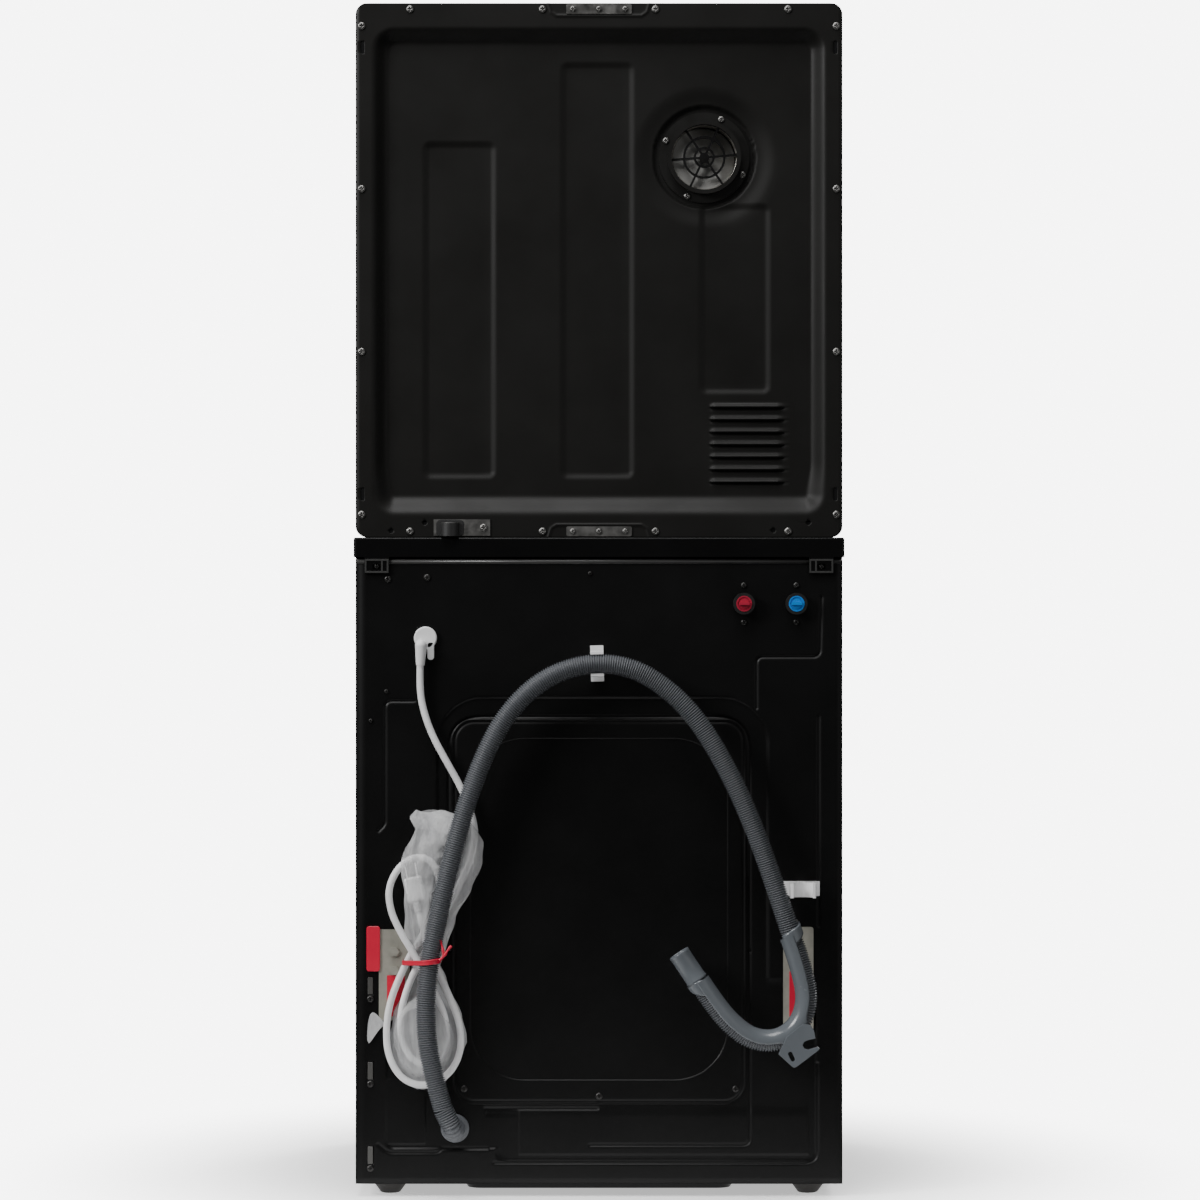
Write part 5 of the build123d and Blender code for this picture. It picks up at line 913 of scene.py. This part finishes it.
def dryer_depth(x, z):
    """Dish, ribs, exhaust well, slots and holes added up as eased steps of their distances.

    The louvre hoods rise by an eased square over their height, and bell curves round the brackets stand up.
    """
    s = sizes()
    slope = DISH_SLOPE + DISH_FOOT_SLOPE * ease((DISH_FOOT - z) / DISH_FOOT_SPREAD)
    depth = s.dish_depth * ease(inside_box(x, z, *DISH) / slope)
    depth += pressed(x, z, [(s.rib_depth, RIB_SLOPE, *rib, RIB_CORNER) for rib in RIBS])
    right, up = x - EXHAUST[0], z - EXHAUST[1]
    well = np.hypot(right + WELL_SHIFT[0], up + WELL_SHIFT[1])
    fade = ease((right + WELL_FADE) / -WELL_FADE + 1.0)
    depth += WELL_DEPTH * ease((WELL_RADIUS - well) / WELL_SLOPE) * fade
    for drop, radius, slope in EXHAUST_RINGS:
        depth += drop * ease((radius - np.hypot(right, up)) / slope)
    across = ease((LOUVRE_HALF - np.abs(x - LOUVRE_MIDDLE)) / LOUVRE_END)
    for low_edge in LOUVRES:
        rise = (z - low_edge) / LOUVRE_HEIGHT
        depth -= LOUVRE_OUT * across * np.where((rise >= 0) & (rise <= 1), ease(1.0 - rise) ** 2, 0.0)
        depth += LOUVRE_IN * across * np.where((rise < 0) & (rise > LOUVRE_MOUTH), 1.0, 0.0)
    half_x, half_z = RIM_SLOT_HALF
    for side, height in RIM_SLOTS:
        box = (side - half_x, side + half_x, height - half_z, height + half_z, RIM_SLOT_CORNER)
        depth += pressed(x, z, [(SLOT_DEPTH, PUNCHED_SLOPE, *box)])
    for hole_x, hole_z in RIM_HOLES:
        depth += HOLE_DEPTH * ease((HOLE_RADIUS - np.hypot(x - hole_x, z - hole_z)) / PUNCHED_SLOPE)
    for line in SURROUNDS:
        depth -= SURROUND_HEIGHT * bell(line_distance(x, z, line), SURROUND_WIDTH)
    return depth


def washer_depth(x, z):
    """A recess of three joined boxes less a raised pad, the product of eased steps from its four edges.

    Pressed lines are bell curves of their distance, and the top lip, small boxes and slots are eased steps.
    """
    recess = np.maximum.reduce([inside_box(x, z, *box) for box in RECESS])
    pad = np.prod([ease(((x, z)[axis] - edge) / slope) for axis, edge, slope in PAD_EDGES], 0)
    depth = RECESS_DEPTH * ease(recess / RECESS_SLOPE) - PAD_HEIGHT * pad
    for bead in BEADS:
        depth += sizes().bead_height * bell(line_distance(x, z, rounded(*bead)), BEAD_WIDTH)
    return depth + TOP_LIP_DEPTH * ease((z - TOP_LIP) / TOP_LIP_SLOPE) + pressed(x, z, WASHER_STEPS)


def cover_depth(x, z):
    """The access cover's groove near its edge, a bell curve, and two eased steps inside it."""
    groove = GROOVE_DEPTH * bell(inside_box(x, z, *COVER_GROOVE), GROOVE_WIDTH)
    return COVER_BACK + groove + pressed(x, z, COVER_STEPS)


class STACK_OT_rear_skins(Operator):
    """Pressed rear sheets of both cabinets and the access cover"""

    bl_idname = "stack.rear_skins"
    bl_label = "Rear skins"

    def execute(self, context):
        ribs, slots, holes = np.array(RIBS), np.array(RIM_SLOTS), np.array(RIM_HOLES)
        xs = axis_steps(-HALF_WIDTH, HALF_WIDTH, DRYER_GRID, [
            *DRYER_X_MARKS, *near(ribs[:, 0], 1, 10, 1.2), *near(ribs[:, 1], 10, 1, 1.2),
            *near(slots[:, 0], 3, 3, 0.7), *near(holes[:, 0], 3.5, 3.5, 0.7),
        ])
        zs = axis_steps(DRYER_BOTTOM, DRYER_TOP, DRYER_GRID, [
            *DRYER_Z_MARKS, *near(ribs[:, 2], 1, 10, 1.2), *near(ribs[:, 3], 10, 1, 1.2),
            *near(LOUVRES, 3.0, 9.0, 0.9), *near(LOUVRES, 0.3, 0.2, 0.2),
            *near(slots[:, 1], 9.5, -6.5, 0.7), *near(slots[:, 1], -6.5, 9.5, 0.7),
            *near(holes[:, 1], 3.5, 3.5, 0.7),
        ])
        look = (dryer_depth, "dryer_rear", DRYER_CORNER)
        skin("dryer_rear_skin", xs, zs, *look, "dryer_rear_panel")
        bends = np.floor(np.concatenate([rounded(*bead) for bead in BEADS]))
        xs = axis_steps(-HALF_WIDTH, HALF_WIDTH, WASHER_GRID, [
            *WASHER_X_MARKS, *near(np.unique(bends[:, 0]), 4, 5, 1.0),
        ])
        zs = axis_steps(WASHER_FLOOR, WASHER_TOP, WASHER_GRID, [
            *WASHER_Z_MARKS, *near(np.unique(bends[:, 1]), 4, 5, 1.0),
            *near(EDGE_SLOTS, 13.5, -9.5, 0.6), *near(EDGE_SLOTS, -9.5, 13.5, 0.6),
        ])
        look = (washer_depth, "washer_rear", WASHER_CORNER)
        skin("washer_rear_skin", xs, zs, *look, "washer_rear_panel")
        xs = axis_steps(*COVER_X, COVER_GRID, COVER_X_MARKS)
        zs = axis_steps(*COVER_Z, COVER_GRID, COVER_Z_MARKS)
        look = (cover_depth, "washer_rear", COVER_CORNER)
        skin("access_cover_skin", xs, zs, *look, "washer_access_cover", COVER_SHEET)
        return {"FINISHED"}


def dryer_screw_places():
    """Seats of the dryer's rear screws as (X, Y, Z) with head radii."""
    low, high = DRYER_BOTTOM + RIM_INSET, DRYER_TOP - RIM_INSET
    rows = [(side * x, REAR, z, DRYER_HEAD) for x in (231.0, 69.0) for side in (-1, 1) for z in (low, high)]
    for z in np.linspace(DRYER_BOTTOM + 28, DRYER_TOP - 28, 4):
        rows += [(side * (HALF_WIDTH - RIM_INSET), REAR, z, DRYER_HEAD) for side in (-1, 1)]
    rows += [(x, REAR + STRAP_SHEET, z, STRAP_HEAD) for z in (low, high) for x in (-32, 0, 32)]
    rows.append((141, REAR + STRAP_SHEET, DRYER_BOTTOM + 12, DRYER_HEAD))
    for turn in np.radians(GUARD_TURN + 90 * np.arange(4)):
        x, z = EXHAUST[0] + GUARD_SCREWS * np.cos(turn), EXHAUST[1] + GUARD_SCREWS * np.sin(turn)
        rows.append((x, GUARD_SEAT, z, GUARD_HEAD))
    return np.array(rows)


def washer_screw_places():
    """Seats of the washer's rear screws as (X, Y, Z) with head radii."""
    rows = [(x, REAR, z, WASHER_HEAD) for x, z in ((258, 755), (210, 757))]
    rows += [(x, REAR, z, PIN_HEAD) for x, z in ((11, 762), (279, 582), (260, 618))]
    rows += [(HALF_WIDTH - 18, REAR, z - 16, WASHER_HEAD) for z in EDGE_SLOTS]
    rows += [(x, REAR, 725 + side * 22.5, STRAP_HEAD) for x in (-177.0, -241.0) for side in (-1, 1)]
    rows += [(x, REAR - 2, z, WASHER_HEAD) for x, z in ((-167, 132), (165, 132), (0, 123))]
    rows += [(side * LUG_MIDDLE, REAR + 0.3, 770.5, STRAP_HEAD) for side in (-1, 1)]
    return np.array(rows)


class STACK_OT_screws(Operator):
    """Domed cross-head screws on the rear panels"""

    bl_idname = "stack.screws"
    bl_label = "Rear screws"

    def execute(self, context):
        r, a = np.meshgrid(HEAD_RINGS, circle(32), indexing="ij")
        x, z = r * np.cos(a), r * np.sin(a)
        rise = HEAD_RISE * np.sqrt(np.maximum(1.0 - (r * 0.93) ** 2, 0.0))
        cross = np.minimum(np.abs(x), np.abs(z))
        rise -= 1.5 * ease((0.16 - cross) / 0.07) * ease((0.58 - r) / 0.12)
        rise[-1] = 0.0
        for name, rows, finish, stands_for in (
            ("dryer_screws", dryer_screw_places(), "screw", ["panel_screws"]),
            ("washer_screws", washer_screw_places(), "dark_screw", ()),
        ):
            heads = [
                copies(tube(np.stack([radius * x, rise, radius * z], -1)), rows[rows[:, 3] == radius][:, :3])
                for radius in np.unique(rows[:, 3])
            ]
            piece(name, join(heads), finish, stands_for=stands_for, flip=True)
        return {"FINISHED"}


# Hose, cord and bag


def hose_line():
    """The hose's smooth centre line."""
    return smooth_line([(x, HOSE_LINE, z) for x, z in HOSE_ROUTE])


class STACK_OT_hose(Operator):
    """Ribbed drain hose with its boot, cuff and U guide"""

    bl_idname = "stack.hose"
    bl_label = "Drain hose"

    def execute(self, context):
        s = sizes()
        line = hose_line()
        total = lengths(line)[-1]
        stations = np.linspace(0, total, int(total / s.rib_pitch) * len(RIB_WAVE) + 1)
        hose = pipe(line, stations, self.ribs(len(stations)), 28)
        hose_piece = piece("ribbed_hose", hose, "hose", stands_for=["drain_hose"])
        boot_line = smooth_line(BOOT_ROUTE)
        collar, radii = np.array(BOOT_COLLAR).T
        ribs = np.arange(BOOT_RIBS_START, lengths(boot_line)[-1], s.rib_pitch / len(RIB_WAVE))
        radii = np.concatenate([radii, BOOT_SWELL + self.ribs(len(ribs))])
        boot = pipe(boot_line, np.concatenate([collar, ribs]), radii, 32)
        boot_piece = piece("hose_boot", boot, "hose")
        end, way = along(line, np.array([total]))
        cuff = piece("hose_cuff", turned(CUFF, 40, end[0], way[0]), "guide", flip=True)
        guide = self.guide(line)
        return {"FINISHED"}

    def ribs(self, count):
        """Radii at a count of stations: each rib rises from the root and falls back over one wave."""
        s = sizes()
        return s.hose_root + (s.hose_radius - s.hose_root) * RIB_WAVE[np.arange(count) % len(RIB_WAVE)]

    def reached(self, line, x, z):
        """Distance along a line to where it comes nearest to a point."""
        return lengths(line)[np.argmin(np.hypot(line[:, 0] - x, line[:, 2] - z))]

    def wall(self, line, stations, turns, radius):
        """Points at a radius from a line, at turns from the inner side of its bends towards the rear."""
        points, ways = along(line, stations)
        inner = np.cross(ways, (0, 1, 0))
        if turns.ndim > 1:
            points, inner = points[:, None], inner[:, None]
        out = inner * np.cos(turns)[..., None] + np.array([0.0, 1.0, 0.0]) * np.sin(turns)[..., None]
        return points + radius * out

    def guide(self, line):
        """A half pipe on the inner side of the bend, wider at the hook, with two lips and a hook plate."""
        start, end = self.reached(line, *GUIDE_START), lengths(line)[-1] - 2
        stations = np.linspace(start, end, 120)
        hook = np.abs(stations - self.reached(line, *GUIDE_HOOK))
        reach = GUIDE_TO + HOOK_REACH * ease(1.0 - hook / HOOK_SPREAD)
        turns = np.radians(GUIDE_FROM + (reach - GUIDE_FROM)[:, None] * np.linspace(0, 1, 22))
        inside, outside = (self.wall(line, stations, turns, radius) for radius in GUIDE_WALL)
        section = tube(np.concatenate([inside, outside[:, ::-1]], 1))
        channel = piece("hose_guide_channel", section, "guide", stands_for=["hose_guide"])
        lips = [self.lip(line, start - 4, 20, -9), self.lip(line, end - 2, -24, 14)]
        clips = piece("guide_clips", join(lips), "guide")
        x, z = np.cos(circle(24)), np.sin(circle(24))
        slot = np.column_stack([HOOK_HOLE_RADIUS * x, HOOK_HOLE_RADIUS * z + HOOK_HOLE_HALF * np.sign(z)])
        cos, sin = np.cos(HOOK_LEAN), np.sin(HOOK_LEAN)
        slot = slot @ np.array([[cos, sin], [-sin, cos]]) + HOOK_HOLE
        plate = flat_plate([HOOK_OUTLINE, slot], HOOK_PLANE, HOOK_HALF, HOOK_BEVEL)
        return [channel, clips, piece("guide_hook_plate", plate, "guide", smooth=False)]

    def lip(self, line, at, length, slant):
        """A curved lip round the hose's rear, its ends slanted, that narrows to the outer side."""
        turns = np.radians(np.linspace(*LIP_TURN, 24))
        share = np.linspace(0.0, 1.0, 24)
        rows = []
        for step in np.linspace(0.0, 1.0, 8):
            stations = at + slant * share + length * step * (1.0 - LIP_NARROWING * ease(share))
            inside, outside = (self.wall(line, stations, turns, radius) for radius in LIP_WALL)
            rows.append(np.concatenate([inside, outside[::-1]]))
        first, last = (np.broadcast_to(row.mean(0), row.shape) for row in (rows[0], rows[-1]))
        points, faces = tube(np.stack([first, *rows, last]))
        return points, faces if length < 0 else faces[:, ::-1]


class STACK_OT_cord(Operator):
    """Mains cord from the gland to its plug"""

    bl_idname = "stack.cord"
    bl_label = "Mains cord"

    def execute(self, context):
        radius = sizes().cord_radius
        points = [(x, REAR + y, z) for x, y, z in CORD_ROUTE]
        line = smooth_line(points)
        curve = spline_curve("mains_cord", points, 10)
        curve.bevel_depth = radius * MM
        curve.bevel_resolution = 5
        curve.use_fill_caps = True
        curve.materials.append(FINISHES["cord"])
        cord = placed("mains_cord", curve)
        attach(cord, CABINETS)
        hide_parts("power_cord")
        return {"FINISHED"}


class STACK_OT_bag(Operator):
    """Clear bag round the gathered cord, drawn in at its red tie"""

    bl_idname = "stack.bag"
    bl_label = "Bag and tie"

    def execute(self, context):
        film = join([self.film(), self.ear()])
        piece("cord_film", film, "film", stands_for=["cord_bag"])
        piece("red_tie", self.tie(), "red", stands_for=["bundle_tie"], flip=True)
        return {"FINISHED"}

    def film(self):
        """Ovals of changing width up the bundle, creased by sums of sine waves that gather at the tie.

        Below the tie they lie flat but for an eased dome over the cord's loop. The hose presses them in.
        """
        heights = np.concatenate([np.linspace(133, 282, 90), np.linspace(283, 472, 110)])
        a, z = np.meshgrid(circle(96), heights)
        low, high, deep = (np.interp(heights, FILM_ROWS[:, 0], row)[:, None] for row in FILM_ROWS.T[1:])
        c, s = np.cos(a), np.sin(a)
        crease = (
            np.sin(9 * a + z * 0.035) * (0.7 + bell(z - TIE_HEIGHT, 40.0))
            + 0.8 * np.sin(5 * a - z * 0.06 + 1.3)
            + 0.5 * np.sin(17 * a + 0.11 * z)
            + 0.6 * np.sin(0.19 * z + 2.5 * np.cos(a))
        )
        x = (high + low) / 2 + (high - low) / 2 * np.sign(c) * np.abs(c) ** 0.8 + 1.2 * crease * np.abs(c)
        swell = 0.5 + 0.5 * np.where(s > 0, 1.0, -1.0) * np.abs(s) ** 0.7
        y = REAR + FILM_BACK + (deep - FILM_BACK) * swell
        y += np.clip(deep / 25.0, 0.04, 1.3) * crease * np.maximum(s, 0)
        y = np.maximum(y, REAR + FILM_LEAST)
        below = z < TIE_HEIGHT
        y = np.where(below, np.minimum(y, REAR + FILM_FLAT), y)
        inside = np.hypot((x - LOOP[0]) / LOOP_HALF[0], (z - LOOP[1]) / LOOP_HALF[1])
        dome = ease((1.0 - inside) / 0.25) * (LOOP_RISE + 0.7 * crease)
        y = np.where(below & (s > 0.02), y + dome, y)
        line = hose_line()[::3]
        gap = np.min(np.hypot(x[..., None] - line[:, 0], z[..., None] - line[:, 2]), -1)
        y = np.minimum(y, HOSE_LINE - np.sqrt(np.maximum(HOSE_PRESS**2 - gap**2, 0.0)))
        return tube(np.stack([x, y, z + 1.5 * np.sin(3 * a + 0.4)], -1))

    def ear(self):
        """A flat lobe of film: an oval that narrows to a neck, puffed by the sine of its distance along."""
        share = np.linspace(0.0, 1.0, 40)[:, None]
        arch = np.sin(np.pi * share)
        half = 2.0 + 8.0 * arch**0.8
        a, k = np.meshgrid(circle(24), np.arange(40))
        x = 262 + 20 * share**0.8 + 0.5 * half * np.cos(a)
        z = 212 + 8 * arch - 22 * share**2 + half * np.cos(a)
        y = REAR + 3.1 + (0.8 + 0.25 * np.sin(7 * a + 0.6 * k)) * np.sin(a) * arch
        return tube(np.stack([x, np.maximum(y, REAR + 2.0), z], -1))

    def tie(self):
        """A ridged band on the outline of the hose and cord strands at its height, with two twisted tails."""
        turn = circle(120)
        ways = np.stack([np.cos(turn), np.sin(turn)], -1)
        strand = TIE_STRANDS[np.argmax(TIE_STRANDS[:, :2] @ ways.T + TIE_STRANDS[:, 2, None], 0)]
        base = strand[:, :2] + ways * strand[:, 2, None]
        lean = 0.12 * (base[:, 0] - 212)
        band = np.stack([
            np.column_stack([base + ways * out, TIE_HEIGHT + up - lean]) for out, up in TIE_BAND
        ])
        parts = [(band, quads(*band.shape[:2], True, True))]
        for rise, swing in TIE_TAILS:
            run = smooth_line([
                (193, HOSE_LINE + 8, 293), (188, HOSE_LINE + 9, 297),
                (187 + swing * 0.4, HOSE_LINE + 7, 300 + rise * 0.4),
                (188 + swing, HOSE_LINE + 5, 296 + rise),
            ])
            twist = 1.5 + 0.4 * np.cos(np.linspace(0, 14, 24))
            parts.append(pipe(run, np.linspace(0, lengths(run)[-1], 24), twist, 10))
        return join(parts)


class STACK_OT_transit_plates(Operator):
    """Bare red plates on the transit brackets"""

    bl_idname = "stack.transit_plates"
    bl_label = "Transit plates"

    def execute(self, context):
        plates = join([rear_block(*plate) for plate in TRANSIT_PLATES])
        piece("red_plates", plates, "red", smooth=False)
        return {"FINISHED"}


# Fronts


class STACK_OT_doors(Operator):
    """Metal trims and black lens borders of both doors"""

    bl_idname = "stack.doors"
    bl_label = "Door trims"

    def execute(self, context):
        for name, height in (("washer", WASHER_AXIS), ("dryer", DRYER_AXIS)):
            centre = (0, 0, height)
            body = name + "_door"
            rims = join([ring_band(DOOR_TRIM, centre), ring_band(GLASS_TRIM, centre)])
            piece(name + "_door_trim", rims, "steel", body)
            border = ring_band(LENS_BORDER, centre)
            piece(name + "_lens_border", border, "gloss", body, smooth=False)
        return {"FINISHED"}


class STACK_OT_controls(Operator):
    """Dial rings and marks, displays, lamps and strips of both control panels"""

    bl_idname = "stack.controls"
    bl_label = "Control details"

    def execute(self, context):
        face = CONTROL_FACE
        wide = HALF_WIDTH - 2
        for name, height, bottom in CONTROLS:
            rings = [ring_band(self.bezel(radius), (x, 0, height), 96) for x, radius in BEZELS]
            strip = raised(-wide, wide, bottom + 1.4, bottom + 3.6, face, 0.5, 0.6)
            piece(name + "_control_rings", join([*rings, strip]), "steel")
            piece(name + "_dial_marks", self.marks(height), "print", smooth=False)
            low, high = height - DISPLAY_HALF, height + DISPLAY_HALF
            display = raised(DISPLAY_LEFT, DISPLAY_RIGHT, low, high, face, 0.9, 5.0)
            piece(name + "_display", display, "lens", smooth=False)
            lamp = turned(LAMP_PROFILE, 16, (0, face, 0))
            lamps = copies(lamp, [(x, 0, height - LAMP_DROP) for x in LAMP_ROW])
            piece(name + "_lamps", lamps, "print", flip=True)
            low, high = height + POINTER_FROM, height + POINTER_TO
            pointer = raised(-POINTER_HALF, POINTER_HALF, low, high, KNOB_FACE, 0.65, 0.5)
            piece(name + "_dial_pointer", pointer, "print", name + "_knob", smooth=False)
        return {"FINISHED"}

    def bezel(self, radius):
        """A half-round ring just outside a dial or button."""
        turn = np.linspace(np.pi, 0, 9)
        x, y = BEZEL_HALF * np.cos(turn), BEZEL_HALF * np.sin(turn)
        return np.column_stack([radius + BEZEL_HALF + x, CONTROL_FACE + 0.2 - y])

    def marks(self, height):
        """Bars pointing at the dial's middle, every fifth one longer."""
        bars = []
        for i in range(DIAL_MARKS):
            end = MARK_START + (MARK_SHORT if i % 5 else MARK_LONG)
            bar, faces = raised(-MARK_HALF, MARK_HALF, MARK_START, end, CONTROL_FACE, 0.25, 0.4)
            cos, sin = np.cos(2 * np.pi * i / DIAL_MARKS), np.sin(2 * np.pi * i / DIAL_MARKS)
            x, y, z = bar.T
            bars.append((np.column_stack([x * cos + z * sin, y, z * cos - x * sin + height]), faces))
        return join(bars)


# Smaller fittings


class STACK_OT_duct(Operator):
    """Light metal lining and the bend behind the exhaust guard, the bend's colour lightened as painted light
    """

    bl_idname = "stack.duct"
    bl_label = "Exhaust lining"

    def execute(self, context):
        lining = ring_band(DUCT_LINING, (EXHAUST[0], 0, EXHAUST[1]), 96)
        piece("exhaust_lining", lining, "zinc")
        # The bend's light colour is painted light inside the duct
        piece("duct_bend", self.bend(), "duct", flip=True)
        return {"FINISHED"}

    def bend(self):
        """A disc that falls away by two eased steps of its distance along one slanting way."""
        r, a = np.meshgrid(np.linspace(TIP, BEND_RADIUS, 24), circle(72), indexing="ij")
        x, z = r * np.cos(a), r * np.sin(a)
        lean = (z - x) / BEND_ACROSS
        y = BEND_FACE - 3.0 * ease((lean + 1.0) / 2.0) - 26.0 * ease((lean + 0.15) / 1.1)
        front = np.stack([EXHAUST[0] + x, y, EXHAUST[1] + z], -1)
        return tube(np.concatenate([front, (front - (0.0, BEND_SHEET, 0.0))[::-1]]))


class STACK_OT_feet(Operator):
    """Levelling feet: a round pad that narrows to the floor, with its stud"""

    bl_idname = "stack.feet"
    bl_label = "Feet"

    def execute(self, context):
        for name, x, y in FEET:
            foot = turned(FOOT, 64, (x, y, 0), (0, 0, 1))
            piece(name + "_pad", foot, "foot", name, [name], smooth=False)
        return {"FINISHED"}


class STACK_OT_edge_fittings(Operator):
    """Lug frames on the worktop, the washer's top lip, the cord clamp's shoe and the small tabs"""

    bl_idname = "stack.edge_fittings"
    bl_label = "Edge fittings"

    def execute(self, context):
        for name, side in (("right_lug_frame", -1), ("left_lug_frame", 1)):
            piece(name, self.lug_frame(side), "edge", smooth=False)
        # The top lip's lighter grey is a painted highlight along the edge
        piece("rear_top_lip", self.top_lip(), "edge")
        profile = [(TIP, 0), (CLAMP_HUMP, 0), (CLAMP_HUMP, 15.6), (CLAMP_HUMP - 1.4, 17), (TIP, 17)]
        hump = turned(profile, 40, (CLAMP_MIDDLE, REAR + 1, CLAMP_FOOT), (0, 0, 1))
        left, right = CLAMP_MIDDLE - CLAMP_HALF, CLAMP_MIDDLE + CLAMP_HALF
        shoe = rear_block(left, right, CLAMP_FOOT, CLAMP_TOP, 1.3, 2.3, 5.0)
        piece("cord_clamp_shoe", join([hump, shoe]), "matt", smooth=False)
        piece("gland_tab", rear_block(*GLAND_TAB), "white", smooth=False)
        tabs = copies(rear_block(*EDGE_TAB), [(0, 0, height) for height in EDGE_SLOTS])
        tabs = join([tabs, rear_block(*HOOK_TAB)])
        piece("hook_tabs", tabs, "tab", smooth=False)
        return {"FINISHED"}

    def lug_frame(self, side):
        """A plate with two windows on one of the worktop's rear lugs."""
        middle = side * LUG_MIDDLE
        outlines = [self.rectangle(middle - LUG_HALF, middle + LUG_HALF, *LUG_EDGES)]
        for start, end in LUG_WINDOWS:
            x0, x1 = sorted((middle + side * start, middle + side * end))
            outlines.append(self.rectangle(x0, x1, *LUG_WINDOW_EDGES))
        return flat_plate(outlines, REAR + 4.3, 0.45, 0.2)

    def top_lip(self):
        """A round bar along the top edge of the washer's rear; its lighter grey is a painted highlight."""
        turn = circle(16)
        reach = HALF_WIDTH - 1
        return tube(np.stack([
            np.column_stack([np.full(16, x), REAR - 0.7 + r * np.sin(turn), LIP_HEIGHT + r * np.cos(turn)])
            for x, r in ((-reach, TIP), (-reach, LIP_RADIUS), (reach, LIP_RADIUS), (reach, TIP))
        ]))

    def rectangle(self, x0, x1, z0, z1):
        """Corners of a rectangle in X and Z."""
        return [(x0, z0), (x1, z0), (x1, z1), (x0, z1)]


class STACK_OT_finishes(Operator):
    """A procedural finish on every solid that stays in view"""

    bl_idname = "stack.finishes"
    bl_label = "Finishes"

    def execute(self, context):
        make_finishes()
        for finish, nodes in FINISH_NODES.items():
            for node in nodes.split():
                mesh = NODES[node].data
                mesh.materials.clear()
                mesh.materials.append(FINISHES[finish])
        return {"FINISHED"}


class STACK_OT_stage(Operator):
    """Pale floor, soft lights and the camera behind the stack"""

    bl_idname = "stack.stage"
    bl_label = "Stage"

    def execute(self, context):
        self.floor()
        self.world()
        self.lights()
        self.camera()
        return {"FINISHED"}

    def floor(self):
        """A large flat pale sheet under the feet, fading out round the stack."""
        mesh = bpy.data.meshes.new("floor")
        half = FLOOR_HALF
        corners = [(-half, -half, 0), (half, -half, 0), (half, half, 0), (-half, half, 0)]
        mesh.from_pydata(corners, [], [(0, 1, 2, 3)])
        glow = {"Emission_Color": (1, 1, 1, 1), "Emission_Strength": 0.6}
        made = Finish("floor_paper", grey(0.9), 0.9, 0.0, **glow)
        made.tint(made.noise(3.0), 0.01)
        away = made.math("LENGTH", made.place, kind="VectorMath")
        fade = made.carried(away, *FLOOR_FADE, 1.0, 0.0, "SMOOTHSTEP")
        made.link(fade, made.shader.inputs["Alpha"])
        mesh.materials.append(made.material)
        placed("floor", mesh)

    def world(self):
        """A white world that the camera sees bright and the stack is lit by faintly."""
        world = bpy.data.worlds.new("studio")
        world.use_nodes = True
        tree = world.node_tree
        back = tree.nodes["Background"]
        back.inputs["Color"].default_value = (1, 1, 1, 1)
        path = tree.nodes.new("ShaderNodeLightPath")
        level = tree.nodes.new("ShaderNodeMapRange")
        level.inputs["To Min"].default_value = WORLD_LEVEL
        level.inputs["To Max"].default_value = BACKDROP_LEVEL
        tree.links.new(path.outputs["Is Camera Ray"], level.inputs["Value"])
        tree.links.new(level.outputs["Result"], back.inputs["Strength"])
        bpy.context.scene.world = world

    def lights(self):
        """A soft key high on one side, a weaker one on the other, one above, and two in front."""
        for name, place, size, power in LAMPS:
            lamp = bpy.data.lights.new(name, "AREA")
            lamp.energy, lamp.size = power, size
            lamp_object = placed(name, lamp)
            lamp_object.location = place
            lamp_object.rotation_euler = (LAMP_AIM - Vector(place)).to_track_quat("-Z", "Y").to_euler()

    def camera(self):
        """A long lens square to the rear panels."""
        s = sizes()
        lens = bpy.data.cameras.new("camera")
        lens.sensor_width = SENSOR
        lens.lens = SENSOR * s.camera_distance / s.frame_height
        camera = placed("camera", lens)
        camera.location = (CAMERA_X, REAR * MM + s.camera_distance, CAMERA_Z)
        camera.rotation_euler = (np.pi / 2, 0.0, np.pi)
        bpy.context.scene.camera = camera


class STACK_PT_panel(Panel):
    """The stack's sidebar tab"""

    bl_label = "Washer dryer stack"
    bl_idname = "STACK_PT_panel"
    bl_space_type = "VIEW_3D"
    bl_region_type = "UI"
    bl_category = "Stack"

    def draw(self, context):
        for operator in OPERATORS:
            self.layout.operator(operator.bl_idname)


OPERATORS = (
    STACK_OT_finishes, STACK_OT_stage, STACK_OT_cord, STACK_OT_hose, STACK_OT_rear_skins, STACK_OT_screws,
    STACK_OT_bag, STACK_OT_transit_plates, STACK_OT_doors, STACK_OT_controls, STACK_OT_duct, STACK_OT_feet,
    STACK_OT_edge_fittings,
)
CLASSES = (StackSizes, StackColours, *OPERATORS, STACK_PT_panel)


def register():
    """Adds the classes and the settings."""
    for item in CLASSES:
        bpy.utils.register_class(item)
    bpy.types.Scene.stack_sizes = PointerProperty(type=StackSizes)
    bpy.types.Scene.stack_colours = PointerProperty(type=StackColours)


def unregister():
    """Takes the classes and the settings away."""
    del bpy.types.Scene.stack_colours
    del bpy.types.Scene.stack_sizes
    for item in reversed(CLASSES):
        bpy.utils.unregister_class(item)


def main():
    """Registers and runs each operator in order."""
    register()
    bpy.ops.stack.finishes()
    bpy.ops.stack.stage()
    bpy.ops.stack.cord()
    bpy.ops.stack.hose()
    bpy.ops.stack.rear_skins()
    bpy.ops.stack.screws()
    bpy.ops.stack.bag()
    bpy.ops.stack.transit_plates()
    bpy.ops.stack.doors()
    bpy.ops.stack.controls()
    bpy.ops.stack.duct()
    bpy.ops.stack.feet()
    bpy.ops.stack.edge_fittings()


if __name__ == "__main__":
    main()
